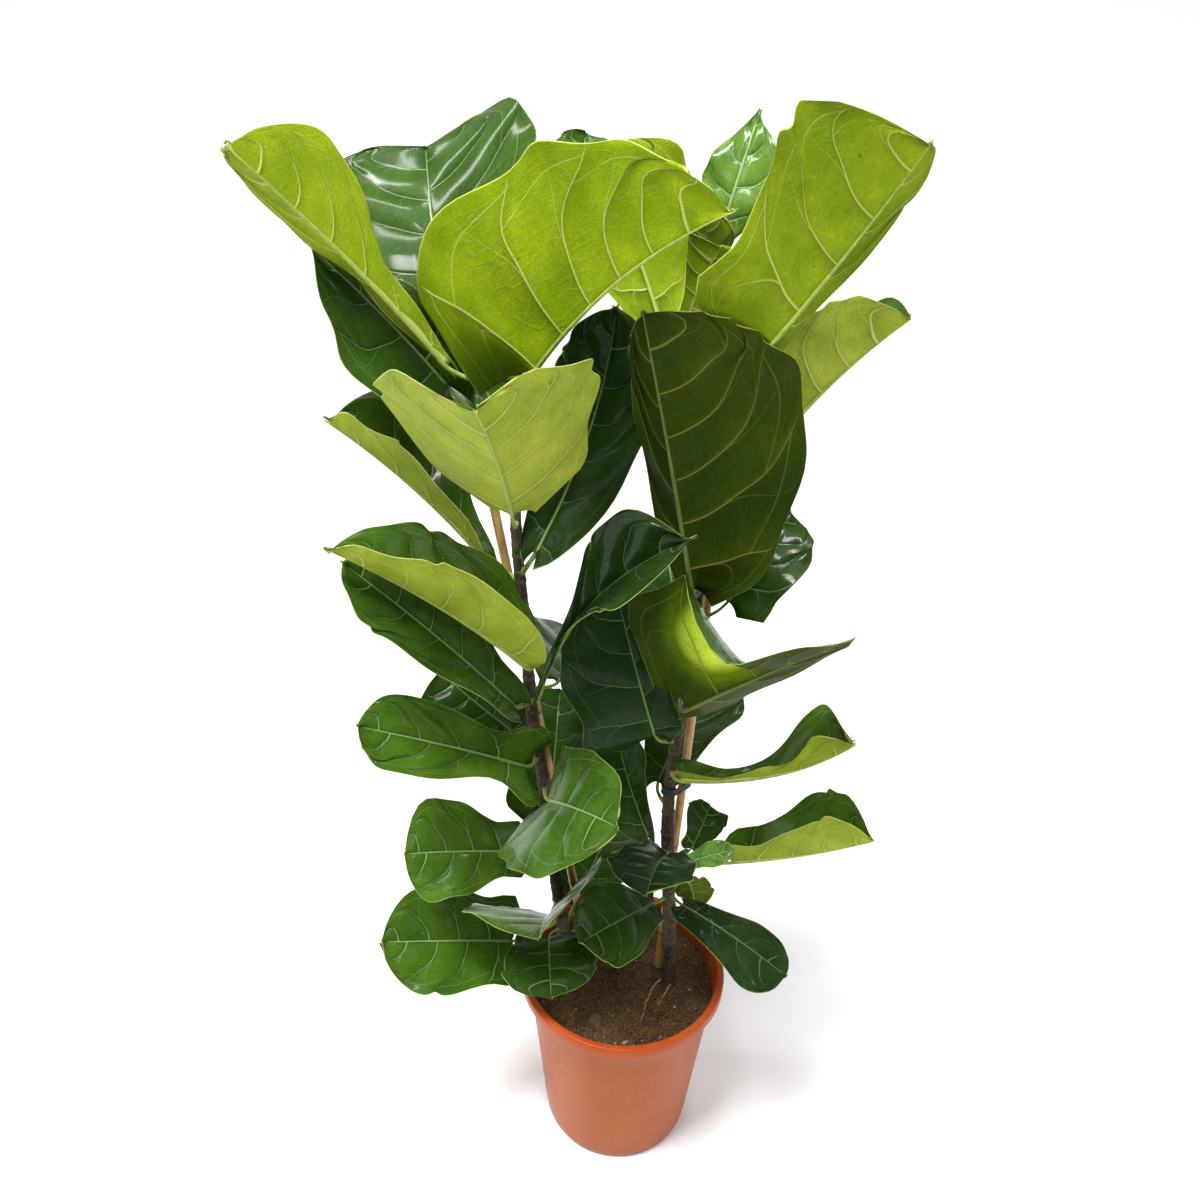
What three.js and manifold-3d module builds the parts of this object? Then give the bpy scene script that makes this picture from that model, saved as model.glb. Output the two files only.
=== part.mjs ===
import * as THREE from "three";
import { mergeVertices } from "three/addons/utils/BufferGeometryUtils.js";
import Module from "manifold-3d";

// A fiddle leaf fig with two stems in one plastic nursery pot.
// Millimetres, +Z up, origin at the centre of the pot's underside.

// Pot
const POT_HEIGHT = 235;
const POT_TOP_RADIUS = 120;
const POT_BASE_RADIUS = 88;
const POT_CORNER = 11;
const POT_WALL = 2.2;
const RIM_HEIGHT = 13;
const RIM_WIDTH = 7;
const DRAIN_HOLES = 8;
const DRAIN_WIDTH = 14;
const DRAIN_LENGTH = 16;
const DRAIN_HEIGHT = 5;

// Soil, with its top a little below the rim and mounded to the middle
const SOIL_EDGE_HEIGHT = 212;
const SOIL_MOUND = 8;

// Stems, canes and what ties them
const STEM_FOOT = 150;
const STEM_RADIUS_LOW = 8.5;
const STEM_RADIUS_TOP = 5;
const CANE_RADIUS = 5;
const CANE_FOOT = 60;
const TIE_WIDTH = 9;
const TIE_THICKNESS = 1.4;

// Leaves
const BLADE_THICKNESS = 1.2;
const PETIOLE_RADIUS = 2.4;
const PETIOLE_FOOT_RADIUS = 3.6;
const MIDRIB_SHARE = 14;
const DRIP_TIP_START = 0.965;
const DRIP_TIP_HALF_WIDTH = 2.5;
const BUD_HEIGHT = 34;
const BUD_RADIUS = 4.6;

// How finely the round pieces and the leaves are divided
const POT_SIDES = 36;
const LIMB_SIDES = 8;
const STEM_STEPS = 12;
const ROOT_STEPS = 5;
const ROOT_SIDES = 5;
const STALK_STEPS = 4;
const STALK_SIDES = 5;

// What stays free between two pieces that touch
const GAP = 0.3;

const wasm = await Module();
wasm.setup();

const terracotta = new THREE.MeshStandardMaterial({ color: 0xc87040, roughness: 0.45 });
const earth = new THREE.MeshStandardMaterial({ color: 0x3a2a1a, roughness: 1 });
const bark = new THREE.MeshStandardMaterial({ color: 0x33281f, roughness: 0.9 });
const bamboo = new THREE.MeshStandardMaterial({ color: 0xc0904c, roughness: 0.5 });
const tieBlack = new THREE.MeshStandardMaterial({ color: 0x1c1c1a, roughness: 0.6 });
const rootSkin = new THREE.MeshStandardMaterial({ color: 0xb89a78, roughness: 0.8 });
const budSheath = new THREE.MeshStandardMaterial({ color: 0x7a6a30, roughness: 0.6 });
const leafGreen = new THREE.MeshStandardMaterial({ color: 0x35602a, roughness: 0.35 });

// ---------- solids and geometries ----------

function toSolid(geometry) {
  const bare = geometry.clone();
  bare.deleteAttribute("normal");
  bare.deleteAttribute("uv");
  const merged = mergeVertices(bare, 1e-3);
  return new wasm.Manifold(new wasm.Mesh({
    numProp: 3,
    vertProperties: new Float32Array(merged.attributes.position.array),
    triVerts: new Uint32Array(merged.index.array),
  }));
}

function toGeometry(solid) {
  const mesh = solid.getMesh();
  const geometry = new THREE.BufferGeometry();
  geometry.setAttribute("position", new THREE.BufferAttribute(mesh.vertProperties, 3));
  geometry.setIndex(new THREE.BufferAttribute(mesh.triVerts, 1));
  geometry.computeVertexNormals();
  return geometry;
}

function piece(name, solid, material) {
  const mesh = new THREE.Mesh(toGeometry(solid), material);
  mesh.name = name;
  return mesh;
}

function vector([x, y, z]) {
  return new THREE.Vector3(x, y, z);
}

// A closed round limb along a curve, with a radius of its own at each step.
function limb(curve, radiusAt, steps, sides) {
  const frames = curve.computeFrenetFrames(steps, false);
  const positions = [];
  for (let i = 0; i <= steps; i += 1) {
    const centre = curve.getPointAt(i / steps);
    const radius = radiusAt(i / steps);
    for (let k = 0; k < sides; k += 1) {
      const angle = (2 * Math.PI * k) / sides;
      const point = centre.clone()
        .addScaledVector(frames.normals[i], radius * Math.cos(angle))
        .addScaledVector(frames.binormals[i], radius * Math.sin(angle));
      positions.push(point.x, point.y, point.z);
    }
  }
  const foot = curve.getPointAt(0);
  const head = curve.getPointAt(1);
  positions.push(foot.x, foot.y, foot.z, head.x, head.y, head.z);
  const footIndex = (steps + 1) * sides;
  const index = [];
  for (let k = 0; k < sides; k += 1) {
    const next = (k + 1) % sides;
    for (let i = 0; i < steps; i += 1) {
      const low = i * sides;
      const high = low + sides;
      index.push(low + k, low + next, high + next, low + k, high + next, high + k);
    }
    index.push(footIndex, next, k);
    index.push(footIndex + 1, steps * sides + k, steps * sides + next);
  }
  const geometry = new THREE.BufferGeometry();
  geometry.setAttribute("position", new THREE.Float32BufferAttribute(positions, 3));
  geometry.setIndex(index);
  return toSolid(geometry);
}

function taper(low, high) {
  return (u) => low + (high - low) * u;
}

function constantRadius(radius) {
  return () => radius;
}

// ---------- pot ----------

function innerRadiusAt(height) {
  const slope = (POT_TOP_RADIUS - RIM_WIDTH - 3 - POT_BASE_RADIUS) / (POT_HEIGHT - RIM_HEIGHT);
  return POT_BASE_RADIUS - POT_WALL + slope * height;
}

function potBody() {
  const shoulder = POT_HEIGHT - RIM_HEIGHT;
  const corner = POT_CORNER;
  const inner = POT_CORNER - POT_WALL;
  const skirtInner = POT_TOP_RADIUS - POT_WALL;
  const profile = [
    [0, 0],
    [POT_BASE_RADIUS - corner, 0],
    [POT_BASE_RADIUS - corner * 0.5, corner * 0.14],
    [POT_BASE_RADIUS - corner * 0.14, corner * 0.5],
    [POT_BASE_RADIUS + 0.5, corner],
    [innerRadiusAt(shoulder) + POT_WALL, shoulder],
    [innerRadiusAt(shoulder) + POT_WALL + 1.5, POT_HEIGHT - POT_WALL - 1],
    [skirtInner, POT_HEIGHT - POT_WALL - 1],
    [skirtInner, shoulder],
    [POT_TOP_RADIUS, shoulder],
    [POT_TOP_RADIUS, POT_HEIGHT - 2],
    [POT_TOP_RADIUS - 1.5, POT_HEIGHT],
    [POT_TOP_RADIUS - RIM_WIDTH + 1, POT_HEIGHT],
    [POT_TOP_RADIUS - RIM_WIDTH - 1, POT_HEIGHT - 2],
    [innerRadiusAt(shoulder), shoulder],
    [innerRadiusAt(corner), corner],
    [innerRadiusAt(corner) - inner * 0.25, POT_WALL + inner * 0.3],
    [innerRadiusAt(corner) - inner, POT_WALL],
    [0, POT_WALL],
  ].map(([radius, height]) => new THREE.Vector2(radius, height));
  const shell = new THREE.LatheGeometry(profile, POT_SIDES);
  shell.rotateX(Math.PI / 2);
  return toSolid(shell);
}

function drainSlot(angle) {
  const slot = new THREE.BoxGeometry(DRAIN_LENGTH, DRAIN_WIDTH, 2 * DRAIN_HEIGHT);
  slot.translate(POT_BASE_RADIUS - DRAIN_LENGTH / 2 + 2, 0, 0);
  slot.rotateZ(angle);
  return toSolid(slot);
}

function pot() {
  let body = potBody();
  for (let k = 0; k < DRAIN_HOLES; k += 1) {
    body = body.subtract(drainSlot((2 * Math.PI * (k + 0.5)) / DRAIN_HOLES));
  }
  return piece("pot", body, terracotta);
}

// ---------- stems and canes ----------

const STEM_ROUTES = {
  left: [
    [-60, 2, STEM_FOOT], [-64, 0, 215], [-73, 2, 300], [-83, -2, 390], [-93, 2, 480],
    [-106, 0, 580], [-114, 2, 690], [-121, 0, 800], [-118, 2, 890], [-106, 0, 970],
  ],
  right: [
    [56, -2, STEM_FOOT], [56, 0, 215], [49, 3, 330], [42, 0, 420], [40, 3, 500],
    [45, 0, 590], [51, 3, 690], [56, 0, 800], [60, 3, 890], [64, 0, 965],
  ],
};

const CANE_ENDS = {
  left: [[-10, 13, CANE_FOOT], [-145, 13, 815]],
  right: [[36, 18, CANE_FOOT], [68, 18, 815]],
};

const TIE_HEIGHTS = {
  left: { lower: 470, upper: 690 },
  right: { lower: 495, upper: 680 },
};

const stemCurves = {};
const caneCurves = {};
for (const side of ["left", "right"]) {
  stemCurves[side] = new THREE.CatmullRomCurve3(STEM_ROUTES[side].map(vector));
  caneCurves[side] = new THREE.LineCurve3(...CANE_ENDS[side].map(vector));
}

function stemRadius(extra) {
  return taper(STEM_RADIUS_LOW + extra, STEM_RADIUS_TOP + extra);
}

function stemSolid(side, extra) {
  return limb(stemCurves[side], stemRadius(extra), STEM_STEPS, LIMB_SIDES);
}

function caneSolid(side, extra) {
  return limb(caneCurves[side], constantRadius(CANE_RADIUS + extra), 1, LIMB_SIDES);
}

// The point of a curve that rises all the way, at a given height.
function atHeight(curve, height) {
  let low = 0;
  let high = 1;
  while (high - low > 1e-5) {
    const middle = (low + high) / 2;
    if (curve.getPointAt(middle).z < height) low = middle;
    else high = middle;
  }
  return { u: low, point: curve.getPointAt(low) };
}

// A flat band that holds a stem to its cane: a ring with two round ends.
function tie(side, height) {
  const stem = atHeight(stemCurves[side], height);
  const cane = atHeight(caneCurves[side], height);
  const along = stemCurves[side].getTangentAt(stem.u);
  const across = cane.point.clone().sub(stem.point);
  across.addScaledVector(along, -across.dot(along));
  const reach = across.length() / 2;
  across.normalize();
  const inner = taper(STEM_RADIUS_LOW, STEM_RADIUS_TOP)(stem.u) + GAP + 0.4;
  const band = roundEndedShape(reach, inner + TIE_THICKNESS);
  band.holes.push(roundEndedShape(reach, inner));
  const ring = new THREE.ExtrudeGeometry(band, {
    depth: TIE_WIDTH, bevelEnabled: false, curveSegments: 5,
  });
  ring.translate(0, 0, -TIE_WIDTH / 2);
  const turn = new THREE.Matrix4().makeBasis(across, along.clone().cross(across), along);
  ring.applyMatrix4(turn.setPosition(stem.point.clone().addScaledVector(across, reach)));
  return toSolid(ring);
}

function roundEndedShape(reach, radius) {
  const shape = new THREE.Shape();
  shape.absarc(reach, 0, radius, -Math.PI / 2, Math.PI / 2, false);
  shape.absarc(-reach, 0, radius, Math.PI / 2, (3 * Math.PI) / 2, false);
  shape.closePath();
  return shape;
}

// The closed pointed sheath at the top of a stem.
function growingTip(side) {
  const top = stemCurves[side].getPointAt(1);
  const lean = stemCurves[side].getTangentAt(1);
  const profile = [[0, 0], [0.8, 0.02], [1, 0.2], [0.75, 0.5], [0.35, 0.8], [0, 1]]
    .map(([r, z]) => new THREE.Vector2(r * BUD_RADIUS, z * BUD_HEIGHT));
  const spear = new THREE.LatheGeometry(profile, LIMB_SIDES);
  spear.rotateX(Math.PI / 2);
  const turn = new THREE.Quaternion().setFromUnitVectors(new THREE.Vector3(0, 0, 1), lean);
  spear.applyQuaternion(turn);
  const foot = top.clone().addScaledVector(lean, GAP);
  spear.translate(foot.x, foot.y, foot.z);
  return toSolid(spear);
}

// ---------- soil and roots ----------

function soilTopAt(radius) {
  const share = Math.min(radius / innerRadiusAt(SOIL_EDGE_HEIGHT), 1);
  return SOIL_EDGE_HEIGHT + SOIL_MOUND * (1 - share * share);
}

function soil() {
  const edge = innerRadiusAt(SOIL_EDGE_HEIGHT) - GAP;
  const profile = [
    [0, POT_WALL + GAP],
    [POT_BASE_RADIUS - 2 * POT_CORNER, POT_WALL + GAP],
    [innerRadiusAt(2 * POT_CORNER) - GAP, 2 * POT_CORNER],
    [edge, SOIL_EDGE_HEIGHT],
    [edge * 0.75, soilTopAt(edge * 0.75)],
    [edge * 0.4, soilTopAt(edge * 0.4)],
    [0, soilTopAt(0)],
  ].map(([radius, height]) => new THREE.Vector2(radius, height));
  const mass = new THREE.LatheGeometry(profile, POT_SIDES);
  mass.rotateX(Math.PI / 2);
  let body = toSolid(mass);
  for (const side of ["left", "right"]) {
    body = body.subtract(stemSolid(side, GAP));
    body = body.subtract(limb(soilSocket(side), constantRadius(CANE_RADIUS + GAP), 1, LIMB_SIDES));
  }
  return piece("soil", body, earth);
}

function soilSocket(side) {
  const [foot, head] = CANE_ENDS[side].map(vector);
  const slack = head.clone().sub(foot).normalize().multiplyScalar(GAP);
  return new THREE.LineCurve3(foot.sub(slack), head);
}

// Two thin roots of the right stem that run over the soil, given by points seen from above. They
// lie twice the usual gap over the soil, because its top is faceted.
const ROOT_PLANS = {
  long: [[45, -6], [38, -18], [31, -36], [25, -64]],
  short: [[57, -12], [53, -22], [48, -32], [44, -42]],
};
const ROOT_RADIUS = 1.2;

function surfaceRoot(plan) {
  const points = plan.map(([x, y]) => {
    return new THREE.Vector3(x, y, soilTopAt(Math.hypot(x, y)) + ROOT_RADIUS + 2 * GAP);
  });
  const route = new THREE.CatmullRomCurve3(points);
  return limb(route, taper(ROOT_RADIUS, ROOT_RADIUS / 2), ROOT_STEPS, ROOT_SIDES);
}

// ---------- leaves ----------

// Half the width of a blade at a share s of its midrib, as a share of the widest half: two ears
// at the base, a waist, a broad round end that is widest at the belly, and a short drip tip.
function outline(s, leaf) {
  const grown = Math.min(s / DRIP_TIP_START, 1) ** (Math.log(0.5) / Math.log(leaf.belly));
  const body = Math.max(Math.sin(Math.PI * grown), 0) ** leaf.fill;
  const ears = leaf.ear * Math.exp(-(((s - 0.06) / 0.13) ** 2));
  return body + ears + 0.05 * (1.1 - s);
}

// How far the margin runs ahead of its midrib point, as a share of the blade's length: the ears
// reach back past the stalk, and the broad end reaches forward.
function sweep(s, leaf) {
  const lobes = leaf.lobe * Math.max(1 - s / 0.45, 0) ** 2;
  return leaf.reach * Math.sin(Math.PI * (1.35 * s - 0.35)) - lobes;
}

// The grid of a blade: shares of its midrib's length, and of the way from the midrib to a margin.
const LEAF_STATIONS = [0, 0.1, 0.26, 0.44, 0.61, 0.77, 0.9, 1];
const LEAF_STRIPS = [0, 0.5, 1];
const HALF_WALK_STEPS = 6;

function midribOf(leaf) {
  const base = vector(leaf.base);
  const tip = vector(leaf.tip);
  const chord = tip.clone().sub(base);
  const length = chord.length();
  chord.normalize();
  const face = vector(leaf.face);
  face.addScaledVector(chord, -face.dot(chord)).normalize();
  const crown = base.clone().add(tip).multiplyScalar(0.5)
    .addScaledVector(face, 2 * leaf.bow)
    .addScaledVector(chord.cross(face), 2 * leaf.sway);
  return { curve: new THREE.QuadraticBezierCurve3(base, crown, tip), face, length };
}

// A point of the blade's middle surface: s runs along the midrib, v from the midrib (0) out to
// the margin (1), and side is 1 for the right half and -1 for the left half.
function bladePoint(leaf, midrib, s, v, side) {
  const along = midrib.curve.getTangent(s);
  const up = midrib.face.clone().addScaledVector(along, -midrib.face.dot(along)).normalize();
  const across = along.clone().cross(up);
  const which = side < 0 ? 0 : 1;
  const fold = leaf.fold[which] + leaf.hood[which] * THREE.MathUtils.smoothstep(s, 0.3, 0.6);
  let out = 0;
  let rise = 0;
  for (let k = 0; k < HALF_WALK_STEPS; k += 1) {
    const share = (v * (k + 0.5)) / HALF_WALK_STEPS;
    const angle = THREE.MathUtils.degToRad(fold + leaf.curl[which] * share);
    out += (v / HALF_WALK_STEPS) * Math.cos(angle);
    rise += (v / HALF_WALK_STEPS) * Math.sin(angle);
  }
  const halfWidth = (leaf.width / 2) * leaf.halves[which] * outline(s, leaf);
  const width = Math.max(halfWidth, DRIP_TIP_HALF_WIDTH);
  const ripple = leaf.wave * v * v * Math.sin(2 * Math.PI * (2.6 * s + 0.25 * side));
  return midrib.curve.getPoint(s)
    .addScaledVector(across, side * out * width)
    .addScaledVector(up, rise * width + ripple)
    .addScaledVector(along, sweep(s, leaf) * midrib.length * v * v);
}

function bladeSolid(leaf, midrib) {
  const columns = [];
  for (let k = LEAF_STRIPS.length - 1; k > 0; k -= 1) columns.push([LEAF_STRIPS[k], -1]);
  for (const v of LEAF_STRIPS) columns.push([v, 1]);
  const rows = LEAF_STATIONS.map((s) => {
    return columns.map(([v, side]) => bladePoint(leaf, midrib, s, v, side));
  });
  const across = columns.length;
  const count = rows.length * across;
  const positions = new Float32Array(count * 6);
  rows.forEach((row, i) => row.forEach((point, j) => {
    const ahead = rows[Math.min(i + 1, rows.length - 1)][j];
    const behind = rows[Math.max(i - 1, 0)][j];
    const right = row[Math.min(j + 1, across - 1)];
    const left = row[Math.max(j - 1, 0)];
    const normal = right.clone().sub(left).cross(ahead.clone().sub(behind)).normalize();
    const upper = point.clone().addScaledVector(normal, BLADE_THICKNESS / 2);
    const lower = point.clone().addScaledVector(normal, -BLADE_THICKNESS / 2);
    upper.toArray(positions, 3 * (i * across + j));
    lower.toArray(positions, 3 * (count + i * across + j));
  }));
  const geometry = new THREE.BufferGeometry();
  geometry.setAttribute("position", new THREE.BufferAttribute(positions, 3));
  geometry.setIndex(sheetIndex(rows.length, across));
  return toSolid(geometry);
}

// Triangles of a closed sheet: its upper grid, its lower grid and the margin between them.
function sheetIndex(rows, columns) {
  const count = rows * columns;
  const index = [];
  for (let i = 0; i + 1 < rows; i += 1) {
    for (let j = 0; j + 1 < columns; j += 1) {
      const a = i * columns + j;
      const b = a + 1;
      const c = a + columns;
      const d = c + 1;
      index.push(a, b, d, a, d, c);
      index.push(count + a, count + d, count + b, count + a, count + c, count + d);
    }
  }
  const margin = [];
  for (let j = 0; j + 1 < columns; j += 1) margin.push(j);
  for (let i = 0; i + 1 < rows; i += 1) margin.push(i * columns + columns - 1);
  for (let j = columns - 1; j > 0; j -= 1) margin.push((rows - 1) * columns + j);
  for (let i = rows - 1; i > 0; i -= 1) margin.push(i * columns);
  margin.forEach((here, k) => {
    const next = margin[(k + 1) % margin.length];
    index.push(here, count + here, count + next, here, count + next, next);
  });
  return index;
}

function petioleSolid(leaf, midrib) {
  const joint = atHeight(stemCurves[leaf.stem], leaf.node).point;
  const base = midrib.curve.getPoint(0);
  const inward = midrib.curve.getTangent(0);
  const reach = base.distanceTo(joint);
  const elbow = base.clone().addScaledVector(inward, -0.35 * reach);
  elbow.lerp(joint.clone().lerp(base, 0.6), 0.5);
  const end = base.clone().addScaledVector(inward, MIDRIB_SHARE);
  const route = new THREE.CatmullRomCurve3([joint, elbow, base, end]);
  const radius = taper(PETIOLE_FOOT_RADIUS, PETIOLE_RADIUS * 0.6);
  return limb(route, radius, STALK_STEPS, STALK_SIDES);
}

function leafPiece(leaf) {
  const midrib = midribOf(leaf);
  const whole = bladeSolid(leaf, midrib).add(petioleSolid(leaf, midrib));
  return piece(leaf.name, whole.subtract(stemRoom[leaf.stem]), leafGreen);
}

// Each leaf: the height on its stem where the leaf stalk starts, where the blade starts and ends,
// which way its upper side faces, and its width. Its shape is given where it differs from a plain
// leaf's, with two values for the left and the right half:
// bow and sway   how far the midrib bends towards the upper side and towards the right half
// fold           degrees that a half is folded up from flat at the midrib
// hood           degrees added to the fold over the outer part of the blade
// curl           degrees that a half curls on from the midrib to the margin
// wave           height of the ripple along the margin
// halves         how wide a half is, as a share of half the width
// belly          where along the midrib the blade is widest
// fill           below 1 a fuller outline, above 1 a leaner one
// ear and lobe   how wide the two ears at the base are, and how far back they reach
// reach          how far the broad end runs ahead of the midrib's tip
function leaf(stem, number, node, base, tip, face, width, shape = {}) {
  const name = `leaf_${stem}_${String(number).padStart(2, "0")}`;
  const plain = {
    bow: 8, sway: 0, fold: [12, 12], hood: [0, 0], curl: [10, 10], wave: 3,
    halves: [1, 1], ear: 0.34, belly: 0.68, fill: 0.5, lobe: 0, reach: 0.075,
  };
  return { name, stem, node, base, tip, face, width, ...plain, ...shape };
}

const LEAVES = [
  leaf("left", 1, 285, [-85, -25, 295], [-75, -95, 280], [0, -0.6, 0.8], 105, { belly: 0.6 }),
  leaf("left", 2, 300, [-130, -10, 270], [-268, -60, 308], [-0.2, -0.6, 0.75], 120,
    { belly: 0.55, ear: 0.4 }),
  leaf("left", 3, 335, [-85, -20, 325], [-85, -115, 390], [0, 0.25, 0.9], 170,
    { fold: [45, 0], belly: 0.6 }),
  leaf("left", 4, 400, [-120, 0, 397], [-240, -40, 420], [-0.3, -0.6, 0.75], 115),
  leaf("left", 5, 490, [-85, -35, 500], [-10, -140, 560], [-0.5, -0.25, 0.85], 160,
    { fold: [20, 0], halves: [0.7, 1], belly: 0.45, lobe: 0.1 }),
  leaf("left", 6, 530, [-110, -25, 535], [-265, -80, 612], [0.1, -0.65, 0.75], 80,
    { ear: 0.9, lobe: 0.05 }),
  leaf("left", 7, 540, [-126, 16, 545], [-210, 42, 600], [0, -0.8, 0.6], 105),
  leaf("left", 8, 600, [-122, -22, 607], [-270, -60, 775], [0.35, -0.6, 0.7], 110,
    { fold: [30, 10], ear: 0.2 }),
  leaf("left", 9, 645, [-108, -30, 658], [-270, -90, 800], [0.2, -0.1, 1], 140,
    { fold: [52, 42], halves: [1, 0.9], belly: 0.45, ear: 0.05, reach: 0.02 }),
  leaf("left", 10, 735, [-152, 0, 757], [-292, 5, 882], [0.4, -0.1, 0.8], 130,
    { fold: [60, 35], halves: [0.6, 1.1], ear: 0.05, belly: 0.72 }),
  leaf("left", 11, 795, [-115, -62, 828], [-125, -165, 950], [0, 0.8, 0.4], 205,
    { fold: [38, 26], halves: [1, 1.12], belly: 0.5, ear: 0.2 }),
  leaf("left", 12, 870, [-185, 28, 913], [-298, 20, 1032], [0.5, -0.7, 0.4], 130,
    { halves: [1, 0.6], belly: 0.32, ear: 0.1, lobe: 0.1, fill: 1.2 }),
  leaf("left", 13, 930, [-180, 0, 940], [-325, -60, 1112], [0.5, 0.7, 0.4], 125,
    { fold: [85, 5], belly: 0.72, fill: 0.9, ear: 0.1, sway: 6 }),
  leaf("left", 14, 950, [-198, 78, 985], [-228, 178, 1100], [0, -0.8, 0.6], 255,
    { fold: [10, 30], halves: [0.8, 1], belly: 0.6, fill: 0.4, reach: 0.04 }),
  leaf("left", 15, 940, [-100, -40, 945], [45, -160, 1090], [0.5, 0.85, 0.2], 255,
    { fold: [100, 0], halves: [0.4, 1], belly: 0.25, fill: 0.6, ear: 0.2, lobe: 0.25, reach: 0,
      sway: 14 }),
  leaf("left", 16, 955, [-78, 75, 1055], [-70, 105, 1120], [0, -0.6, 0.7], 50, { ear: 0.1 }),
  leaf("left", 17, 740, [-102, -5, 768], [-34, 6, 996], [-0.3, -0.8, 0.2], 115,
    { fold: [12, 0], halves: [0.75, 1], bow: -32, belly: 0.6, ear: 0.1 }),
  leaf("left", 18, 600, [-98, -15, 614], [40, -60, 815], [-0.3, -0.8, 0.3], 160,
    { fold: [15, 66], halves: [0.65, 1], ear: 0.05, belly: 0.78, fill: 1.1, sway: -24 }),
  leaf("left", 19, 420, [-90, 30, 430], [-95, 190, 490], [0, -0.5, 0.85], 175),
  leaf("left", 20, 612, [-84, 28, 605], [-52, 185, 556], [0, -0.5, 0.85], 165, { ear: 0.15 }),
  leaf("left", 21, 270, [-62, 32, 290], [-22, 150, 315], [0, -0.6, 0.8], 130, { ear: 0.15 }),
  leaf("left", 22, 850, [-140, 50, 860], [-200, 185, 930], [0, -0.4, 0.9], 135, { ear: 0.05 }),
  leaf("right", 1, 350, [63, -18, 352], [175, -80, 320], [0, -0.4, 0.9], 90,
    { fold: [-20, 12], halves: [0.75, 1], ear: 0.25 }),
  leaf("right", 2, 345, [30, -20, 352], [-45, -110, 380], [0, -0.6, 0.8], 90, { ear: 0.25 }),
  leaf("right", 3, 415, [42, -15, 420], [20, -105, 445], [-0.3, -0.3, 0.9], 95, { fold: [5, 30] }),
  leaf("right", 4, 380, [112, -20, 420], [245, -60, 495], [0, -0.3, 0.9], 110,
    { fold: [25, 95], halves: [1.1, 0.8], bow: -6 }),
  leaf("right", 5, 395, [70, 20, 400], [90, 60, 430], [0, -0.8, 0.5], 50),
  leaf("right", 6, 350, [65, 20, 355], [85, 60, 275], [0, 0.8, 0.6], 50),
  leaf("right", 7, 405, [22, 12, 420], [-24, 75, 530], [-0.3, -0.9, 0.1], 110,
    { halves: [1.1, 0.6], ear: 0.1 }),
  leaf("right", 8, 520, [50, -20, 525], [210, -60, 610], [0, -0.3, 0.9], 105,
    { fold: [15, 100], halves: [1.1, 0.5], bow: -22, belly: 0.8, fill: 0.7 }),
  leaf("right", 9, 560, [20, -16, 577], [-25, 25, 715], [-0.1, -0.9, 0.3], 145,
    { fold: [5, 0], curl: [5, 0], halves: [1, 0.4], ear: 0.5, belly: 0.5 }),
  leaf("right", 10, 620, [50, -50, 633], [180, -105, 750], [0.45, 0.9, 0], 210,
    { fold: [60, 0], hood: [0, -70], halves: [0.6, 1.1], belly: 0.33, fill: 0.8, ear: 0.3,
      lobe: 0.05 }),
  leaf("right", 11, 735, [45, -30, 750], [-12, -50, 1002], [0, 0.9, 0.4], 238,
    { fold: [10, 35], halves: [1, 0.3], belly: 0.5, fill: 0.55, ear: 0.1 }),
  leaf("right", 12, 700, [82, 0, 725], [138, 55, 798], [0, -0.9, 0.3], 85, { belly: 0.5 }),
  leaf("right", 13, 860, [125, 35, 888], [212, 15, 992], [0, 0.9, 0.4], 142,
    { fold: [95, 5], belly: 0.3, fill: 0.45, ear: 0.3 }),
  leaf("right", 14, 920, [94, -16, 972], [194, -30, 1128], [0, 0.9, 0.4], 195,
    { fold: [30, 5], halves: [0.3, 1], belly: 0.62, fill: 0.4, reach: 0.14, ear: 0.4, sway: -6 }),
  leaf("right", 15, 948, [36, 46, 985], [38, 46, 1065], [0, 0.9, 0.4], 52, { ear: 0.1 }),
  leaf("right", 16, 915, [48, 75, 1035], [78, 108, 1143], [0, -0.9, 0.4], 90,
    { fold: [-25, 10], halves: [0.7, 0.8], belly: 0.5, fill: 1.1, reach: 0, ear: 0.1 }),
  leaf("right", 17, 400, [60, -25, 415], [110, -40, 455], [-0.2, -0.6, 0.8], 28),
  leaf("right", 18, 910, [2, 6, 985], [-58, 35, 1112], [0, 0.9, 0.4], 130,
    { fold: [0, 0], curl: [0, 0], ear: 0.1 }),
  leaf("right", 19, 940, [26, 22, 985], [50, 24, 1043], [0, 0.9, 0.4], 85, { ear: 0.1 }),
  leaf("right", 20, 470, [28, 32, 480], [80, 180, 520], [0, -0.4, 0.9], 120, { ear: 0.15 }),
  leaf("right", 21, 640, [40, 34, 655], [20, 190, 710], [0, -0.4, 0.9], 130, { ear: 0.15 }),
  leaf("right", 22, 805, [50, 34, 820], [100, 190, 870], [0, -0.4, 0.9], 115, { ear: 0.15 }),
];

// ---------- the whole plant ----------

const stemRoom = {
  left: stemSolid("left", GAP),
  right: stemSolid("right", GAP),
};

const plant = new THREE.Group();
plant.add(pot());
plant.add(soil());
for (const side of ["left", "right"]) {
  plant.add(piece(`stem_${side}`, stemSolid(side, 0), bark));
  plant.add(piece(`cane_${side}`, caneSolid(side, 0), bamboo));
  plant.add(piece(`growing_tip_${side}`, growingTip(side), budSheath));
  for (const place of ["lower", "upper"]) {
    plant.add(piece(`tie_${side}_${place}`, tie(side, TIE_HEIGHTS[side][place]), tieBlack));
  }
}
for (const length of ["long", "short"]) {
  plant.add(piece(`root_${length}`, surfaceRoot(ROOT_PLANS[length]), rootSkin));
}
for (const spec of LEAVES) plant.add(leafPiece(spec));

export default plant;
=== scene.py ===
import math
import random

import bpy
import numpy as np
from mathutils import Matrix, Vector, noise


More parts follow.
